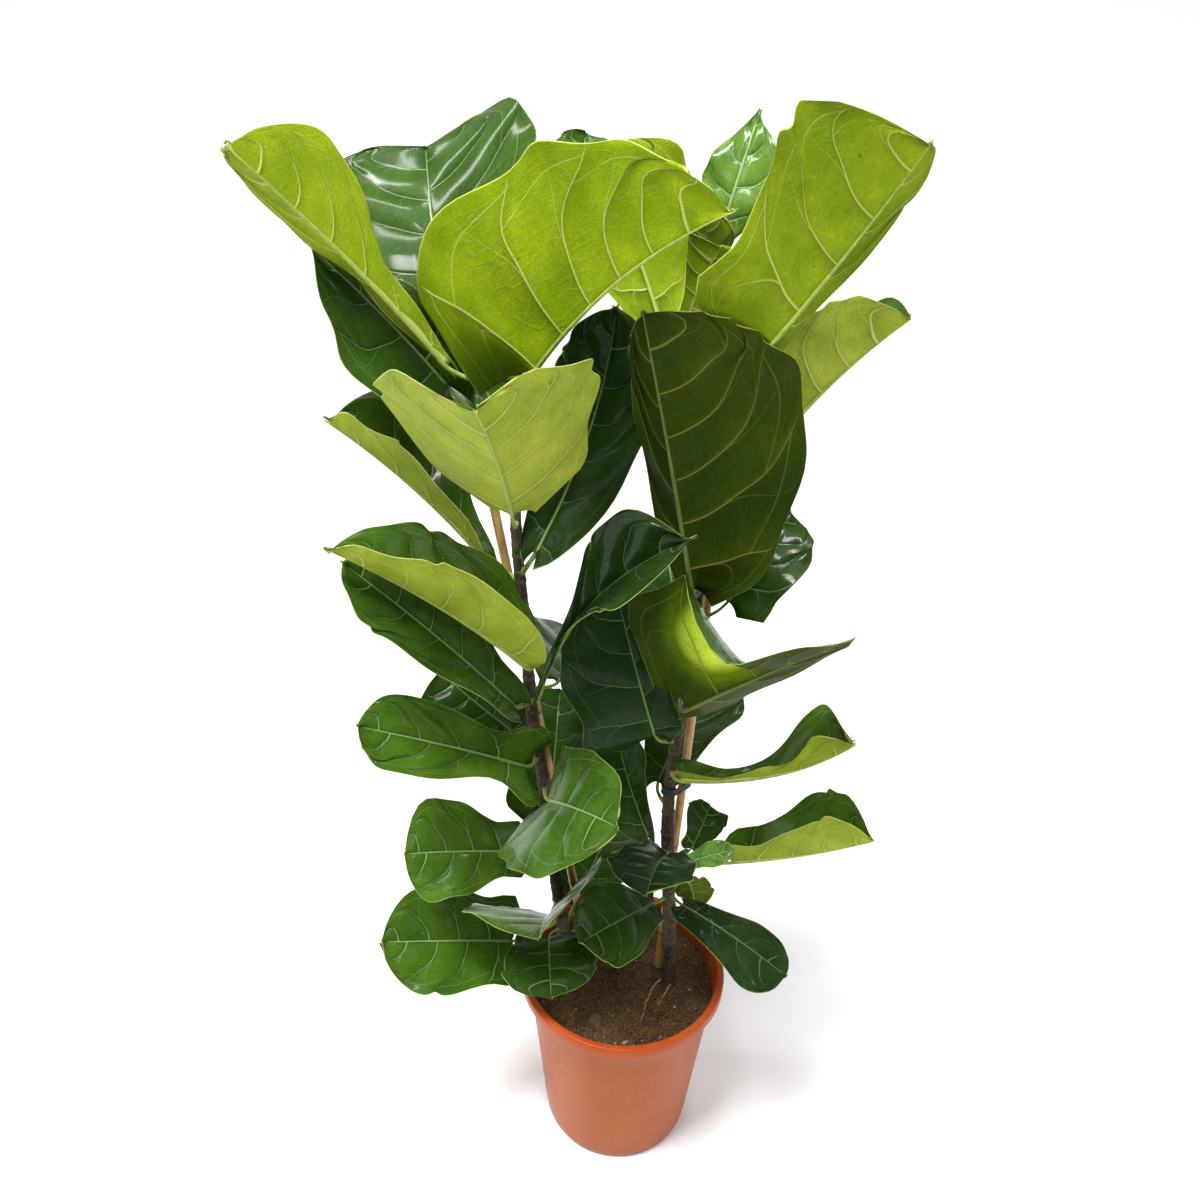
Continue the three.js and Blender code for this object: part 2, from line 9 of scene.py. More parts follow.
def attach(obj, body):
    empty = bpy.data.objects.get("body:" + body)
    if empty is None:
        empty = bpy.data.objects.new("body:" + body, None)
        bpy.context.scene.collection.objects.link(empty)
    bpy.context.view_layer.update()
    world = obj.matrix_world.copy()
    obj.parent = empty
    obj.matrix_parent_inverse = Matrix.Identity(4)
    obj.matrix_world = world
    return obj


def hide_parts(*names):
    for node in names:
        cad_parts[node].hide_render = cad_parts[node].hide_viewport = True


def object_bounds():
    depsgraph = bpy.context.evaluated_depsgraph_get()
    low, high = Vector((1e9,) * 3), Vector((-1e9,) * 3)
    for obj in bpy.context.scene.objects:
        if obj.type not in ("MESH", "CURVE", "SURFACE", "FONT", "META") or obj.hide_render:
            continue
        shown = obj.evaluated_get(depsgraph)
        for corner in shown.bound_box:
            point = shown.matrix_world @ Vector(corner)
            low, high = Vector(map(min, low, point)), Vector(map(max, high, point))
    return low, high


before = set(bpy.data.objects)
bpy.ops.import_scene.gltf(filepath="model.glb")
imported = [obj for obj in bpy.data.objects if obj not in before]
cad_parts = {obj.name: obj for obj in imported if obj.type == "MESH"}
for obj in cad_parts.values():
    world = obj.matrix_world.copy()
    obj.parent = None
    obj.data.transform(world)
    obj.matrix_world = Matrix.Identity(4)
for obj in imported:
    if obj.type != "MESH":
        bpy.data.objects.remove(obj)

box_of_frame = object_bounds()


# ---------------------------------------------------------------- camera
# A short lens just above the plant's top looks down on it, so the crown spreads and the pot
# tapers away. The picture is square.

LENS = 30.0
SENSOR = 36.0
NEAREST_SEEN = 0.01
CAMERA_PLACE = (0.0, -0.850, 1.166)
CAMERA_PITCH = math.radians(27.7)
CAMERA_TURN = math.radians(2.72)
CAMERA_ROLL = math.radians(1.82)


def add_object(name, data):
    """Puts a mesh, a lamp or the camera into the scene."""
    made = bpy.data.objects.new(name, data)
    bpy.context.scene.collection.objects.link(made)
    return made


camera = add_object("camera", bpy.data.cameras.new("camera"))
camera.data.lens = LENS
camera.data.sensor_width = SENSOR
camera.data.clip_start = NEAREST_SEEN
camera.matrix_world = (
    Matrix.Translation(CAMERA_PLACE)
    @ Matrix.Rotation(CAMERA_TURN, 4, "Z")
    @ Matrix.Rotation(math.pi / 2 - CAMERA_PITCH, 4, "X")
    @ Matrix.Rotation(CAMERA_ROLL, 4, "Z")
)
bpy.context.scene.camera = camera
bpy.context.scene.view_settings.view_transform = "Standard"


# ---------------------------------------------------------------- pot
# The nursery pot is one thin moulding of terracotta-coloured polypropylene: a tapered wall, a
# rolled rim with an open skirt that people lift it by, and drain notches round the foot.
# Sizes from here to the leaves are in millimetres, and MM turns them into the frame's metres.

MM = 0.001
POT_HEIGHT = 235
POT_TOP_RADIUS = 120
POT_BASE_RADIUS = 88
POT_CORNER = 11
POT_WALL = 2.2
POT_SIDES = 144
POT_CREASE = 35
FLOOR_RING = 12
FOOT_FLARE = 1.2
FOOT_RISE = 8
WALL_STEPS = 6
RIM_HEIGHT = 13
RIM_WIDTH = 7
RIM_ROUND = 3.0
RIM_STEP = 3
SKIRT_ROUND = 2.0
LIP_WIDTH = 1.5
DRAIN_HOLES = 8
DRAIN_WIDTH = 14
DRAIN_START = 14
DRAIN_PAST_WALL = 4
DRAIN_HEIGHT = 5


def make_piece(name, points, faces, materials, node, sharp=None):
    """A piece in place of a frame node, from points in millimetres."""
    mesh = bpy.data.meshes.new(name)
    mesh.from_pydata((np.asarray(points, float) * MM).tolist(), [], faces)
    for material in materials:
        mesh.materials.append(material)
    mesh.shade_smooth()
    if sharp:
        mesh.set_sharp_from_angle(angle=math.radians(sharp))
    made = add_object(name, mesh)
    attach(made, "root")
    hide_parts(node)
    return made


def lathe(profile, sides):
    """Points and faces of a turned solid whose profile of (radius, height) ends on the axis."""
    turns = [2 * math.pi * k / sides for k in range(sides)]
    points = [(0, 0, profile[0][1]), (0, 0, profile[-1][1])]
    for radius, height in profile[1:-1]:
        points += [(radius * math.cos(a), radius * math.sin(a), height) for a in turns]
    faces = []
    last = len(profile) - 3
    for k in range(sides):
        after = (k + 1) % sides
        faces.append((0, 2 + after, 2 + k))
        for ring in range(last):
            low = 2 + ring * sides
            high = low + sides
            faces.append((low + k, low + after, high + after, high + k))
        faces.append((1, 2 + last * sides + k, 2 + last * sides + after))
    return points, faces


def arc(centre, radius, start, end, steps):
    """Points of a round corner, with the angles in degrees."""
    angles = [math.radians(start + (end - start) * k / steps) for k in range(steps + 1)]
    return [(centre[0] + radius * math.cos(a), centre[1] + radius * math.sin(a)) for a in angles]


def pot_inner_radius(height):
    slope = (POT_TOP_RADIUS - RIM_WIDTH - RIM_STEP - POT_BASE_RADIUS) / (POT_HEIGHT - RIM_HEIGHT)
    return POT_BASE_RADIUS - POT_WALL + slope * height


def linear(red, green, blue):
    """A screen colour of 0 to 255 as a shader's colour."""
    shares = [c / 255 for c in (red, green, blue)]
    return tuple(c / 12.92 if c < 0.04 else ((c + 0.055) / 1.055) ** 2.4 for c in shares) + (1.0,)


def add_node(tree, kind, sockets, **settings):
    """A shader node with its settings, and a value or a link in each named socket."""
    made = tree.nodes.new("ShaderNode" + kind)
    for name, value in settings.items():
        setattr(made, name, value)
    for name, value in sockets.items():
        if isinstance(value, bpy.types.NodeSocket):
            tree.links.new(value, made.inputs[name])
        else:
            made.inputs[name].default_value = value
    return made


def maths(tree, operation, *values):
    return add_node(tree, "Math", dict(enumerate(values)), operation=operation).outputs[0]


def times(tree, value, amount):
    return maths(tree, "MULTIPLY", value, amount)


def blend(tree, share, low, high, mode="MIX"):
    mix = add_node(tree, "Mix", {0: share, 6: low, 7: high}, data_type="RGBA", blend_type=mode)
    return mix.outputs[2]


def tint(tree, colour, mask, amount, over):
    """A colour with another over it where the mask is, by no more than the amount."""
    return blend(tree, times(tree, mask, amount), colour, over)


def between(tree, value, low, high, to_low=0.0, to_high=1.0):
    """A value eased from one range into another."""
    span = add_node(tree, "MapRange", {0: value, 1: low, 2: high, 3: to_low, 4: to_high},
                    interpolation_type="SMOOTHSTEP")
    return span.outputs[0]


def stretched(tree, vector, x, y, z):
    return add_node(tree, "VectorMath", {0: vector, 1: (x, y, z)}, operation="MULTIPLY").outputs[0]


def place_on(tree, rise=1):
    """The place on the piece. A rise under 1 draws a pattern out upwards."""
    place = add_node(tree, "TexCoord", {}).outputs["Object"]
    return place if rise == 1 else stretched(tree, place, 1, 1, rise)


def new_group(name, **inputs):
    """A shader node group and its inputs, each of which is given as (kind, usual value)."""
    group = bpy.data.node_groups.new(name, "ShaderNodeTree")
    for label, (kind, value) in inputs.items():
        made = group.interface.new_socket(label, in_out="INPUT", socket_type="NodeSocket" + kind)
        made.default_value = value
    return group, group.nodes.new("NodeGroupInput").outputs


def close_group(group, **outputs):
    """Gives a group its outputs, each from the node socket named."""
    for label, value in outputs.items():
        kind = "NodeSocketColor" if value.type == "RGBA" else "NodeSocketFloat"
        group.interface.new_socket(label, in_out="OUTPUT", socket_type=kind)
    leave = group.nodes.new("NodeGroupOutput")
    for label, value in outputs.items():
        group.links.new(value, leave.inputs[label])
    return group


def mottle_group():
    """Soft blotches of two colours, and their height for a bump."""
    group, given = new_group(
        "mottle", Vector=("Vector", (0, 0, 0)), Scale=("Float", 20.0), Sharpness=("Float", 0.5),
        Low=("Color", (0, 0, 0, 1)), High=("Color", (1, 1, 1, 1)))
    cloud = add_node(group, "TexNoise", {
        "Vector": given["Vector"], "Scale": given["Scale"], "Detail": 6.0, "Roughness": 0.6})
    half = maths(group, "MULTIPLY_ADD", given["Sharpness"], -0.24, 0.25)
    value = between(group, cloud.outputs[0], maths(group, "SUBTRACT", 0.5, half),
                    maths(group, "ADD", 0.5, half))
    return close_group(group, Colour=blend(group, value, given["Low"], given["High"]), Value=value)


def specks_group():
    """Scattered round specks of uneven size; Amount is the share of places that have one."""
    group, given = new_group(
        "specks", Vector=("Vector", (0, 0, 0)), Scale=("Float", 300.0), Amount=("Float", 0.3),
        Size=("Float", 0.3))
    cells = add_node(group, "TexVoronoi", {"Vector": given["Vector"], "Scale": given["Scale"]})
    chance = add_node(group, "SeparateColor", {0: cells.outputs["Color"]}).outputs
    there = maths(group, "LESS_THAN", chance[0], given["Amount"])
    radius = times(group, given["Size"], maths(group, "ADD", 0.35, chance[1]))
    share = maths(group, "DIVIDE", cells.outputs["Distance"], radius)
    return close_group(group, Mask=times(group, there, between(group, share, 0.6, 1.0, 1.0, 0.0)))


MOTTLE = mottle_group()
SPECKS = specks_group()


def mottle(tree, scale, sharpness, low=(0, 0, 0, 1), high=(1, 1, 1, 1), rise=1):
    """Blotches between two colours over the piece, and their value from 0 to 1."""
    made = add_node(tree, "Group", {
        "Vector": place_on(tree, rise), "Scale": scale, "Sharpness": sharpness,
        "Low": low, "High": high}, node_tree=MOTTLE)
    return made.outputs["Colour"], made.outputs["Value"]


def specks(tree, scale, amount, size, rise=1):
    """Where the piece has specks."""
    made = add_node(tree, "Group", {
        "Vector": place_on(tree, rise), "Scale": scale, "Amount": amount, "Size": size},
        node_tree=SPECKS)
    return made.outputs["Mask"]


def new_finish(name, **values):
    """A material with a Principled shader that has these constant values, and its node tree."""
    material = bpy.data.materials.new(name)
    material.use_nodes = True
    shader = material.node_tree.nodes["Principled BSDF"]
    for label, value in values.items():
        shader.inputs[label.replace("_", " ")].default_value = value
    return material, material.node_tree


def lay_on(tree, colour, bump, rough=None):
    """Links the shader's colour, bump as (height, strength, depth in metres), and roughness as
    (value, amount, least)."""
    shader = tree.nodes["Principled BSDF"].inputs
    tree.links.new(colour, shader["Base Color"])
    height, strength, depth = bump
    raised = add_node(tree, "Bump", {"Height": height, "Strength": strength, "Distance": depth})
    tree.links.new(raised.outputs[0], shader["Normal"])
    if rough:
        tree.links.new(maths(tree, "MULTIPLY_ADD", *rough), shader["Roughness"])


def pot_finish():
    """Satin terracotta plastic: faint flow marks, a dusty bloom low down and splashed soil."""
    material, tree = new_finish(
        "pot_plastic", Coat_Weight=0.08, Coat_Roughness=0.25, Specular_IOR_Level=0.14)
    body, _ = mottle(tree, scale=16, sharpness=0.2,
                     low=linear(152, 70, 8), high=linear(166, 80, 14), rise=0.35)
    fine, pits = mottle(tree, scale=420, sharpness=0.3,
                        low=linear(138, 60, 8), high=linear(184, 92, 28))
    plastic = blend(tree, 0.22, body, fine)
    height = add_node(tree, "SeparateXYZ", {0: place_on(tree)}).outputs["Z"]
    shoulder = (POT_HEIGHT - RIM_HEIGHT) * MM
    rim = between(tree, height, shoulder - 0.5 * MM, shoulder + 1.5 * MM)
    plastic = tint(tree, plastic, rim, 0.8, linear(172, 66, 16))
    _, film = mottle(tree, scale=34, sharpness=0.35, rise=0.3)
    bloom = times(tree, film, between(tree, height, 0.0, 0.09, 1.0, 0.5))
    plastic = tint(tree, plastic, bloom, 0.16, linear(200, 136, 88))
    near_rim = between(tree, height, shoulder - 27 * MM, shoulder, 0.25, 1.0)
    grit = times(tree, specks(tree, scale=240, amount=0.05, size=0.2), near_rim)
    plastic = tint(tree, plastic, grit, 0.75, linear(92, 58, 38))
    flow = add_node(tree, "TexNoise", {"Vector": place_on(tree, 0.12), "Scale": 90, "Detail": 3})
    skin = maths(tree, "MULTIPLY_ADD", pits, 0.35, flow.outputs[0])
    lay_on(tree, plastic, bump=(skin, 0.12, 0.0006), rough=(film, 0.12, 0.34))
    return material


def pot_profile():
    shoulder = POT_HEIGHT - RIM_HEIGHT
    wall_foot = POT_BASE_RADIUS + FOOT_FLARE
    wall_top = pot_inner_radius(shoulder) + POT_WALL
    wall_low = POT_CORNER + FOOT_RISE
    skirt = POT_TOP_RADIUS - POT_WALL
    ceiling = POT_HEIGHT - POT_WALL - 1 - SKIRT_ROUND
    lip = POT_TOP_RADIUS - RIM_WIDTH + LIP_WIDTH
    rounding = POT_HEIGHT - RIM_ROUND
    hem = POT_WALL / 2
    profile = [(0, 0), (POT_BASE_RADIUS - POT_CORNER - FLOOR_RING, 0)]
    profile += arc((POT_BASE_RADIUS - POT_CORNER, POT_CORNER), POT_CORNER, -90, 0, 8)
    for k in range(WALL_STEPS + 1):
        profile.append((wall_foot + (wall_top - wall_foot) * k / WALL_STEPS,
                        wall_low + (shoulder - wall_low) * k / WALL_STEPS))
    profile += arc((skirt - SKIRT_ROUND, ceiling), SKIRT_ROUND, 135, 0, 5)
    profile += arc((skirt + hem, shoulder + hem), hem, -180, 0, 6)
    profile += arc((POT_TOP_RADIUS - RIM_ROUND, rounding), RIM_ROUND, 0, 90, 6)
    profile += arc((lip, rounding), RIM_ROUND, 90, 165, 5)
    profile += [(pot_inner_radius(shoulder) + 0.6, shoulder)]
    profile += [(pot_inner_radius(h), h) for h in (180, 120, 60, 2 * POT_CORNER)]
    inner = POT_CORNER - POT_WALL
    profile += arc((pot_inner_radius(POT_CORNER) - inner, POT_CORNER), inner, 0, -90, 5)
    return profile + [(0, POT_WALL)]


def cut_drain_notches(pot):
    """Takes a box out of the foot for each drain notch."""
    points = []
    faces = []
    for k in range(DRAIN_HOLES):
        turn = Matrix.Rotation(2 * math.pi * (k + 0.5) / DRAIN_HOLES, 3, "Z")
        start = len(points)
        for x in (POT_BASE_RADIUS - DRAIN_START, POT_BASE_RADIUS + DRAIN_PAST_WALL):
            for y in (-DRAIN_WIDTH / 2, DRAIN_WIDTH / 2):
                for z in (-DRAIN_HEIGHT, DRAIN_HEIGHT):
                    points.append(tuple(turn @ Vector((x, y, z)) * MM))
        for face in ((0, 1, 3, 2), (4, 6, 7, 5), (0, 4, 5, 1), (2, 3, 7, 6), (0, 2, 6, 4),
                     (1, 5, 7, 3)):
            faces.append(tuple(start + corner for corner in face))
    mesh = bpy.data.meshes.new("drain_cutter")
    mesh.from_pydata(points, [], faces)
    cutter = add_object("drain_cutter", mesh)
    cut = pot.modifiers.new("drain", "BOOLEAN")
    cut.object = cutter
    cut.solver = "EXACT"
    graph = bpy.context.evaluated_depsgraph_get()
    solid = bpy.data.meshes.new_from_object(pot.evaluated_get(graph))
    pot.modifiers.clear()
    pot.data = solid
    solid.shade_smooth()
    solid.set_sharp_from_angle(angle=math.radians(POT_CREASE))
    bpy.data.objects.remove(cutter)


points, faces = lathe(pot_profile(), POT_SIDES)
pot = make_piece("nursery_pot", points, faces, [pot_finish()], "pot")
cut_drain_notches(pot)


# ---------------------------------------------------------------- soil
# Damp potting mix fills the pot to a finger below its rim: dark peat with bark chips, tan
# fibres, a few white grains and one pale lump, mounded a little round the stems.

SOIL_EDGE_HEIGHT = 212
SOIL_MOUND = 8
SOIL_GAP = 0.3
SOIL_SHOULDER = 4
SOIL_RINGS = 46
SOIL_SIDES = 160
SOIL_CREASE = 50
CHIPS = 1500
WHITE_CHIPS = 0.03
FIBRES = 90
LUMP_PLACE = (-28, -64)
LUMP_RADIUS = 8.5
LUMP_TONE = 0.62
LUMP_PARTS = (((0, 0), 1.0), ((6, 4), 0.55), ((-5, 5), 0.5), ((3, -5), 0.45))
SOIL_SEED = 7
SOIL_CRUMBS = 1.5
SOIL_SWELLS = 1.8
SOIL_SETTLED = 0.8


def soil_top(x, y):
    share = min(math.hypot(x, y) / pot_inner_radius(SOIL_EDGE_HEIGHT), 1)
    crumbs = noise.fractal(Vector((x, y, 0)) * 0.11, 0.8, 2.1, 5)
    swells = noise.noise(Vector((x, y, 40)) * 0.03)
    mound = SOIL_EDGE_HEIGHT + SOIL_MOUND * (1 - share ** 2)
    return mound + SOIL_CRUMBS * crumbs + SOIL_SWELLS * swells - SOIL_SETTLED


def soil_body():
    """The whole mass, closed under its rough top."""
    edge = pot_inner_radius(SOIL_EDGE_HEIGHT) - SOIL_GAP
    floor = POT_WALL + SOIL_GAP
    profile = [(0, floor), (POT_BASE_RADIUS - 2 * POT_CORNER, floor),
               (pot_inner_radius(2 * POT_CORNER) - SOIL_GAP, 2 * POT_CORNER),
               (edge, SOIL_EDGE_HEIGHT - SOIL_SHOULDER)]
    profile += [(edge * k / SOIL_RINGS, SOIL_EDGE_HEIGHT) for k in range(SOIL_RINGS, -1, -1)]
    points, faces = lathe(profile, SOIL_SIDES)
    return [(x, y, soil_top(x, y) if z == SOIL_EDGE_HEIGHT else z) for x, y, z in points], faces


def add_crumb(heap, centre, size, turn, tone, generator):
    """Adds a small uneven lump of twenty sides to the heap's points, faces and tones."""
    golden = (1 + 5 ** 0.5) / 2
    card = [(-1, golden), (1, golden), (-1, -golden), (1, -golden)]
    corners = [(a, b, 0) for a, b in card] + [(0, a, b) for a, b in card]
    corners += [(b, 0, a) for a, b in card]
    sides = [(0, 11, 5), (0, 5, 1), (0, 1, 7), (0, 7, 10), (0, 10, 11), (1, 5, 9), (5, 11, 4),
             (11, 10, 2), (10, 7, 6), (7, 1, 8), (3, 9, 4), (3, 4, 2), (3, 2, 6), (3, 6, 8),
             (3, 8, 9), (4, 9, 5), (2, 4, 11), (6, 2, 10), (8, 6, 7), (9, 8, 1)]
    points, faces, tones = heap
    faces += [tuple(corner + len(points) for corner in side) for side in sides]
    tones += [tone] * len(corners)
    for corner in corners:
        stretch = generator.uniform(0.4, 0.62)
        local = Vector(c * s * stretch for c, s in zip(corner, size))
        points.append(tuple(turn @ local + centre))


def scatter_crumbs(heap):
    """Chips, fibres and grains on the soil's top. A tone is 0 for peat up to 1 for white."""
    generator = random.Random(SOIL_SEED)
    reach = pot_inner_radius(SOIL_EDGE_HEIGHT) - 5
    for k in range(CHIPS + FIBRES):
        radius = reach * generator.random() ** 0.5
        angle = generator.uniform(0, 2 * math.pi)
        x, y = radius * math.cos(angle), radius * math.sin(angle)
        turn = Matrix.Rotation(generator.uniform(0, 6.28), 3, "Z")
        turn = turn @ Matrix.Rotation(generator.uniform(-0.5, 0.5), 3, "X")
        if k < CHIPS:
            grain = 0.7 + 1.9 * generator.random() ** 3
            size = (grain * generator.uniform(0.9, 1.8), grain, grain * generator.uniform(0.5, 0.8))
            tone = generator.choice((0.05, 0.15, 0.3, 0.45, 0.6)) + generator.uniform(-0.05, 0.05)
            if generator.random() < WHITE_CHIPS:
                tone = 1.0
        else:
            size = (generator.uniform(3.5, 8), 0.45, 0.4)
            tone = generator.uniform(0.55, 0.8)
        centre = Vector((x, y, soil_top(x, y) + 0.1 * size[2]))
        add_crumb(heap, centre, size, turn, tone, generator)
    x, y = LUMP_PLACE
    for shift, share in LUMP_PARTS:
        centre = Vector((x + shift[0], y + shift[1], soil_top(x, y)))
        size = (LUMP_RADIUS * share, LUMP_RADIUS * share * 0.85, LUMP_RADIUS * share * 0.5)
        add_crumb(heap, centre, size, Matrix.Identity(3), LUMP_TONE, generator)


def set_values(piece, name, values):
    """Keeps a number for each point of the piece, for its material to read."""
    kept = piece.data.attributes.new(name, "FLOAT", "POINT")
    kept.data.foreach_set("value", np.asarray(values, np.float32))


def read_value(tree, name):
    return add_node(tree, "Attribute", {}, attribute_name=name).outputs["Fac"]


def soil_finish():
    """Matt peat, browner and paler where it has dried, with tan crumbs."""
    material, tree = new_finish("potting_soil", Specular_IOR_Level=0.25)
    peat, _ = mottle(tree, scale=55, sharpness=0.3,
                     low=linear(36, 24, 14), high=linear(106, 78, 50))
    crumbs, grain = mottle(tree, scale=620, sharpness=0.55,
                           low=linear(24, 16, 10), high=linear(164, 126, 84))
    dots = specks(tree, scale=520, amount=0.16, size=0.42)
    ground = tint(tree, blend(tree, 0.5, peat, crumbs), dots, 0.85, linear(170, 134, 90))
    tone = read_value(tree, "tone")
    chip = blend(tree, tone, linear(44, 28, 18), linear(176, 142, 98))
    chip = blend(tree, between(tree, tone, 0.85, 0.95), chip, linear(226, 218, 204))
    chip = blend(tree, 0.35, chip, crumbs)
    colour = blend(tree, between(tree, tone, 0.0, 0.04), ground, chip)
    height = maths(tree, "ADD", grain, dots)
    lay_on(tree, colour, bump=(height, 0.9, 0.0016), rough=(grain, 0.2, 0.75))
    return material


points, faces = soil_body()
tones = [0.0] * len(points)
scatter_crumbs((points, faces, tones))
soil = make_piece("potting_soil", points, faces, [soil_finish()], "soil",
                  sharp=SOIL_CREASE)
set_values(soil, "tone", tones)


# ---------------------------------------------------------------- canes
# Two bamboo canes stand behind the stems as supports. Each is pushed deep into the soil, has a
# ring at every node and a clean sawn top.

CANE_RADIUS = 5
CANE_SIDES = 20
CANE_ENDS = {
    "left": ((-10, 13, 60), (-145, 13, 815)),
    "right": ((36, 18, 60), (68, 18, 815)),
}
CANE_FIRST_NODE = {"left": 40, "right": 95}
CANE_NODE_GAPS = (118, 134, 109, 126, 121)
CANE_RING_WIDTH = 3.2
CANE_RING_STEPS = (-6, -3, -1.6, -0.7, 0, 0.7, 1.6, 3, 6)
CANE_BORE = 2.3
CANE_BORE_DEPTH = 5
CANE_CREASE = 40


def ring_points(centre, side, other, radius, sides):
    turns = [2 * math.pi * k / sides for k in range(sides)]
    return [centre + radius * (side * math.cos(a) + other * math.sin(a)) for a in turns]


def ring_faces(rings, sides):
    """Faces of a round limb whose last two points are the middles of its ends."""
    foot = rings * sides
    faces = []
    for k in range(sides):
        after = (k + 1) % sides
        for ring in range(rings - 1):
            low, high = ring * sides, (ring + 1) * sides
            faces.append((low + k, low + after, high + after, high + k))
        faces.append((foot, after, k))
        faces.append((foot + 1, foot - sides + k, foot - sides + after))
    return faces


def cane(side):
    foot, head = (np.array(end, float) for end in CANE_ENDS[side])
    length = np.linalg.norm(head - foot)
    direction = (head - foot) / length
    nodes = CANE_FIRST_NODE[side] + np.cumsum((0,) + CANE_NODE_GAPS)
    along = set(np.linspace(0, length, 70))
    along |= {node + step for node in nodes for step in CANE_RING_STEPS}
    along = np.array(sorted(a for a in along if 0 <= a <= length))
    near = np.min([np.abs(along - node) for node in nodes], axis=0)
    below = np.min([np.where(along < node, node - along, 99) for node in nodes], axis=0)
    swell = 0.55 * np.exp(-((near / CANE_RING_WIDTH) ** 2)) - 0.35 * np.exp(-((below - 1.2) ** 2))
    radii = CANE_RADIUS - 0.5 + 0.35 * (1 - along / length) + swell
    radii = np.concatenate([radii, [CANE_BORE + 0.5, CANE_BORE, CANE_BORE]])
    route = foot + np.outer(along / length, head - foot)
    route = np.vstack([route, head, head, head - direction * CANE_BORE_DEPTH])
    brown = np.exp(-((near / 1.1) ** 2)) * 0.9 + 0.35 * np.exp(-((near / 5) ** 2))
    brown = np.concatenate([brown, [0, 0.3, 1]])
    across = np.cross(direction, (0, 1.0, 0))
    across /= np.linalg.norm(across)
    other = np.cross(direction, across)
    points = []
    for centre, radius in zip(route, radii):
        points += ring_points(centre, across, other, radius, CANE_SIDES)
    points += [route[0], route[-1]]
    made = make_piece(f"bamboo_cane_{side}", points, ring_faces(len(route), CANE_SIDES),
                      [CANE_FINISH], f"cane_{side}", sharp=CANE_CREASE)
    set_values(made, "ring", [*np.repeat(brown, CANE_SIDES), brown[0], 1])


def cane_finish():
    """Varnish-smooth yellow bamboo with long fibres, brown rings and freckles."""
    material, tree = new_finish("bamboo", Coat_Weight=0.15, Coat_Roughness=0.3)
    fibres, grain = mottle(tree, scale=900, sharpness=0.2,
                           low=linear(176, 128, 66), high=linear(214, 172, 104), rise=0.03)
    stains, film = mottle(tree, scale=70, sharpness=0.5,
                          low=linear(150, 100, 46), high=linear(222, 182, 112), rise=0.4)
    bamboo = blend(tree, 0.5, fibres, stains)
    freckles = specks(tree, scale=420, amount=0.16, size=0.32)
    bamboo = tint(tree, bamboo, freckles, 0.6, linear(84, 50, 22))
    bamboo = tint(tree, bamboo, read_value(tree, "ring"), 0.85, linear(70, 42, 22))
    lay_on(tree, bamboo, bump=(grain, 0.25, 0.0004), rough=(film, 0.18, 0.36))
    return material


CANE_FINISH = cane_finish()
for side in CANE_ENDS:
    cane(side)


# ---------------------------------------------------------------- stems
# Two woody stems grow from the soil. Their bark is dark and cracked, ringed by the scars of old
# leaves, dotted with pale pores, and greener towards the young top.

STEM_RADIUS_LOW = 8.5
STEM_RADIUS_TOP = 5
STEM_FOOT = 150
STEM_SIDES = 24
STEM_STEP = 2.2
STEM_ROUTES = {
    "left": ((-60, 2, STEM_FOOT), (-64, 0, 215), (-73, 2, 300), (-83, -2, 390), (-93, 2, 480),
             (-106, 0, 580), (-114, 2, 690), (-121, 0, 800), (-118, 2, 890), (-106, 0, 970)),
    "right": ((56, -2, STEM_FOOT), (56, 0, 215), (49, 3, 330), (42, 0, 420), (40, 3, 500),
              (45, 0, 590), (51, 3, 690), (56, 0, 800), (60, 3, 890), (64, 0, 965)),
}
SCAR_GAP = 27
SCAR_START = 40
SCAR_WIDTH = 1.7
SCAR_HEIGHT = 0.8
BARK_LUMPS = 0.075
BARK_ROOM = 0.45


def smooth_route(points, count):
    """Evenly spaced points on the rounded curve through the given ones."""
    given = np.asarray(points, float)
    given = np.vstack([2 * given[0] - given[1], given, 2 * given[-1] - given[-2]])
    dense = []
    for k in range(1, len(given) - 2):
        p0, p1, p2, p3 = given[k - 1:k + 3]
        d0, d1, d2 = (np.sum((b - a) ** 2) ** 0.25 for a, b in ((p0, p1), (p1, p2), (p2, p3)))
        start = ((p1 - p0) / d0 - (p2 - p0) / (d0 + d1) + (p2 - p1) / d1) * d1
        end = ((p2 - p1) / d1 - (p3 - p1) / (d1 + d2) + (p3 - p2) / d2) * d1
        for t in np.linspace(0, 1, 40, endpoint=False):
            cubic = (2 * p1 - 2 * p2 + start + end) * t ** 3
            square = (-3 * p1 + 3 * p2 - 2 * start - end) * t ** 2
            dense.append(cubic + square + start * t + p1)
    dense = np.array(dense + [given[-2]])
    walked = np.concatenate([[0], np.cumsum(np.linalg.norm(np.diff(dense, axis=0), axis=1))])
    stops = np.linspace(0, walked[-1], count)
    return np.stack([np.interp(stops, walked, dense[:, axis]) for axis in range(3)], axis=1)


def tube(route, radii, sides):
    """Points and faces of a closed round limb along a route."""
    route = np.asarray(route, float)
    tangents = np.gradient(route, axis=0)
    tangents /= np.linalg.norm(tangents, axis=1, keepdims=True)
    helper = np.array([1.0, 0, 0]) if abs(tangents[0][0]) < 0.8 else np.array([0, 1.0, 0])
    side = np.cross(tangents[0], helper)
    points = []
    for centre, along, radius in zip(route, tangents, radii):
        side = side - along * np.dot(side, along)
        side = side / np.linalg.norm(side)
        points += ring_points(centre, side, np.cross(along, side), radius, sides)
    return points + [route[0], route[-1]], ring_faces(len(route), sides)


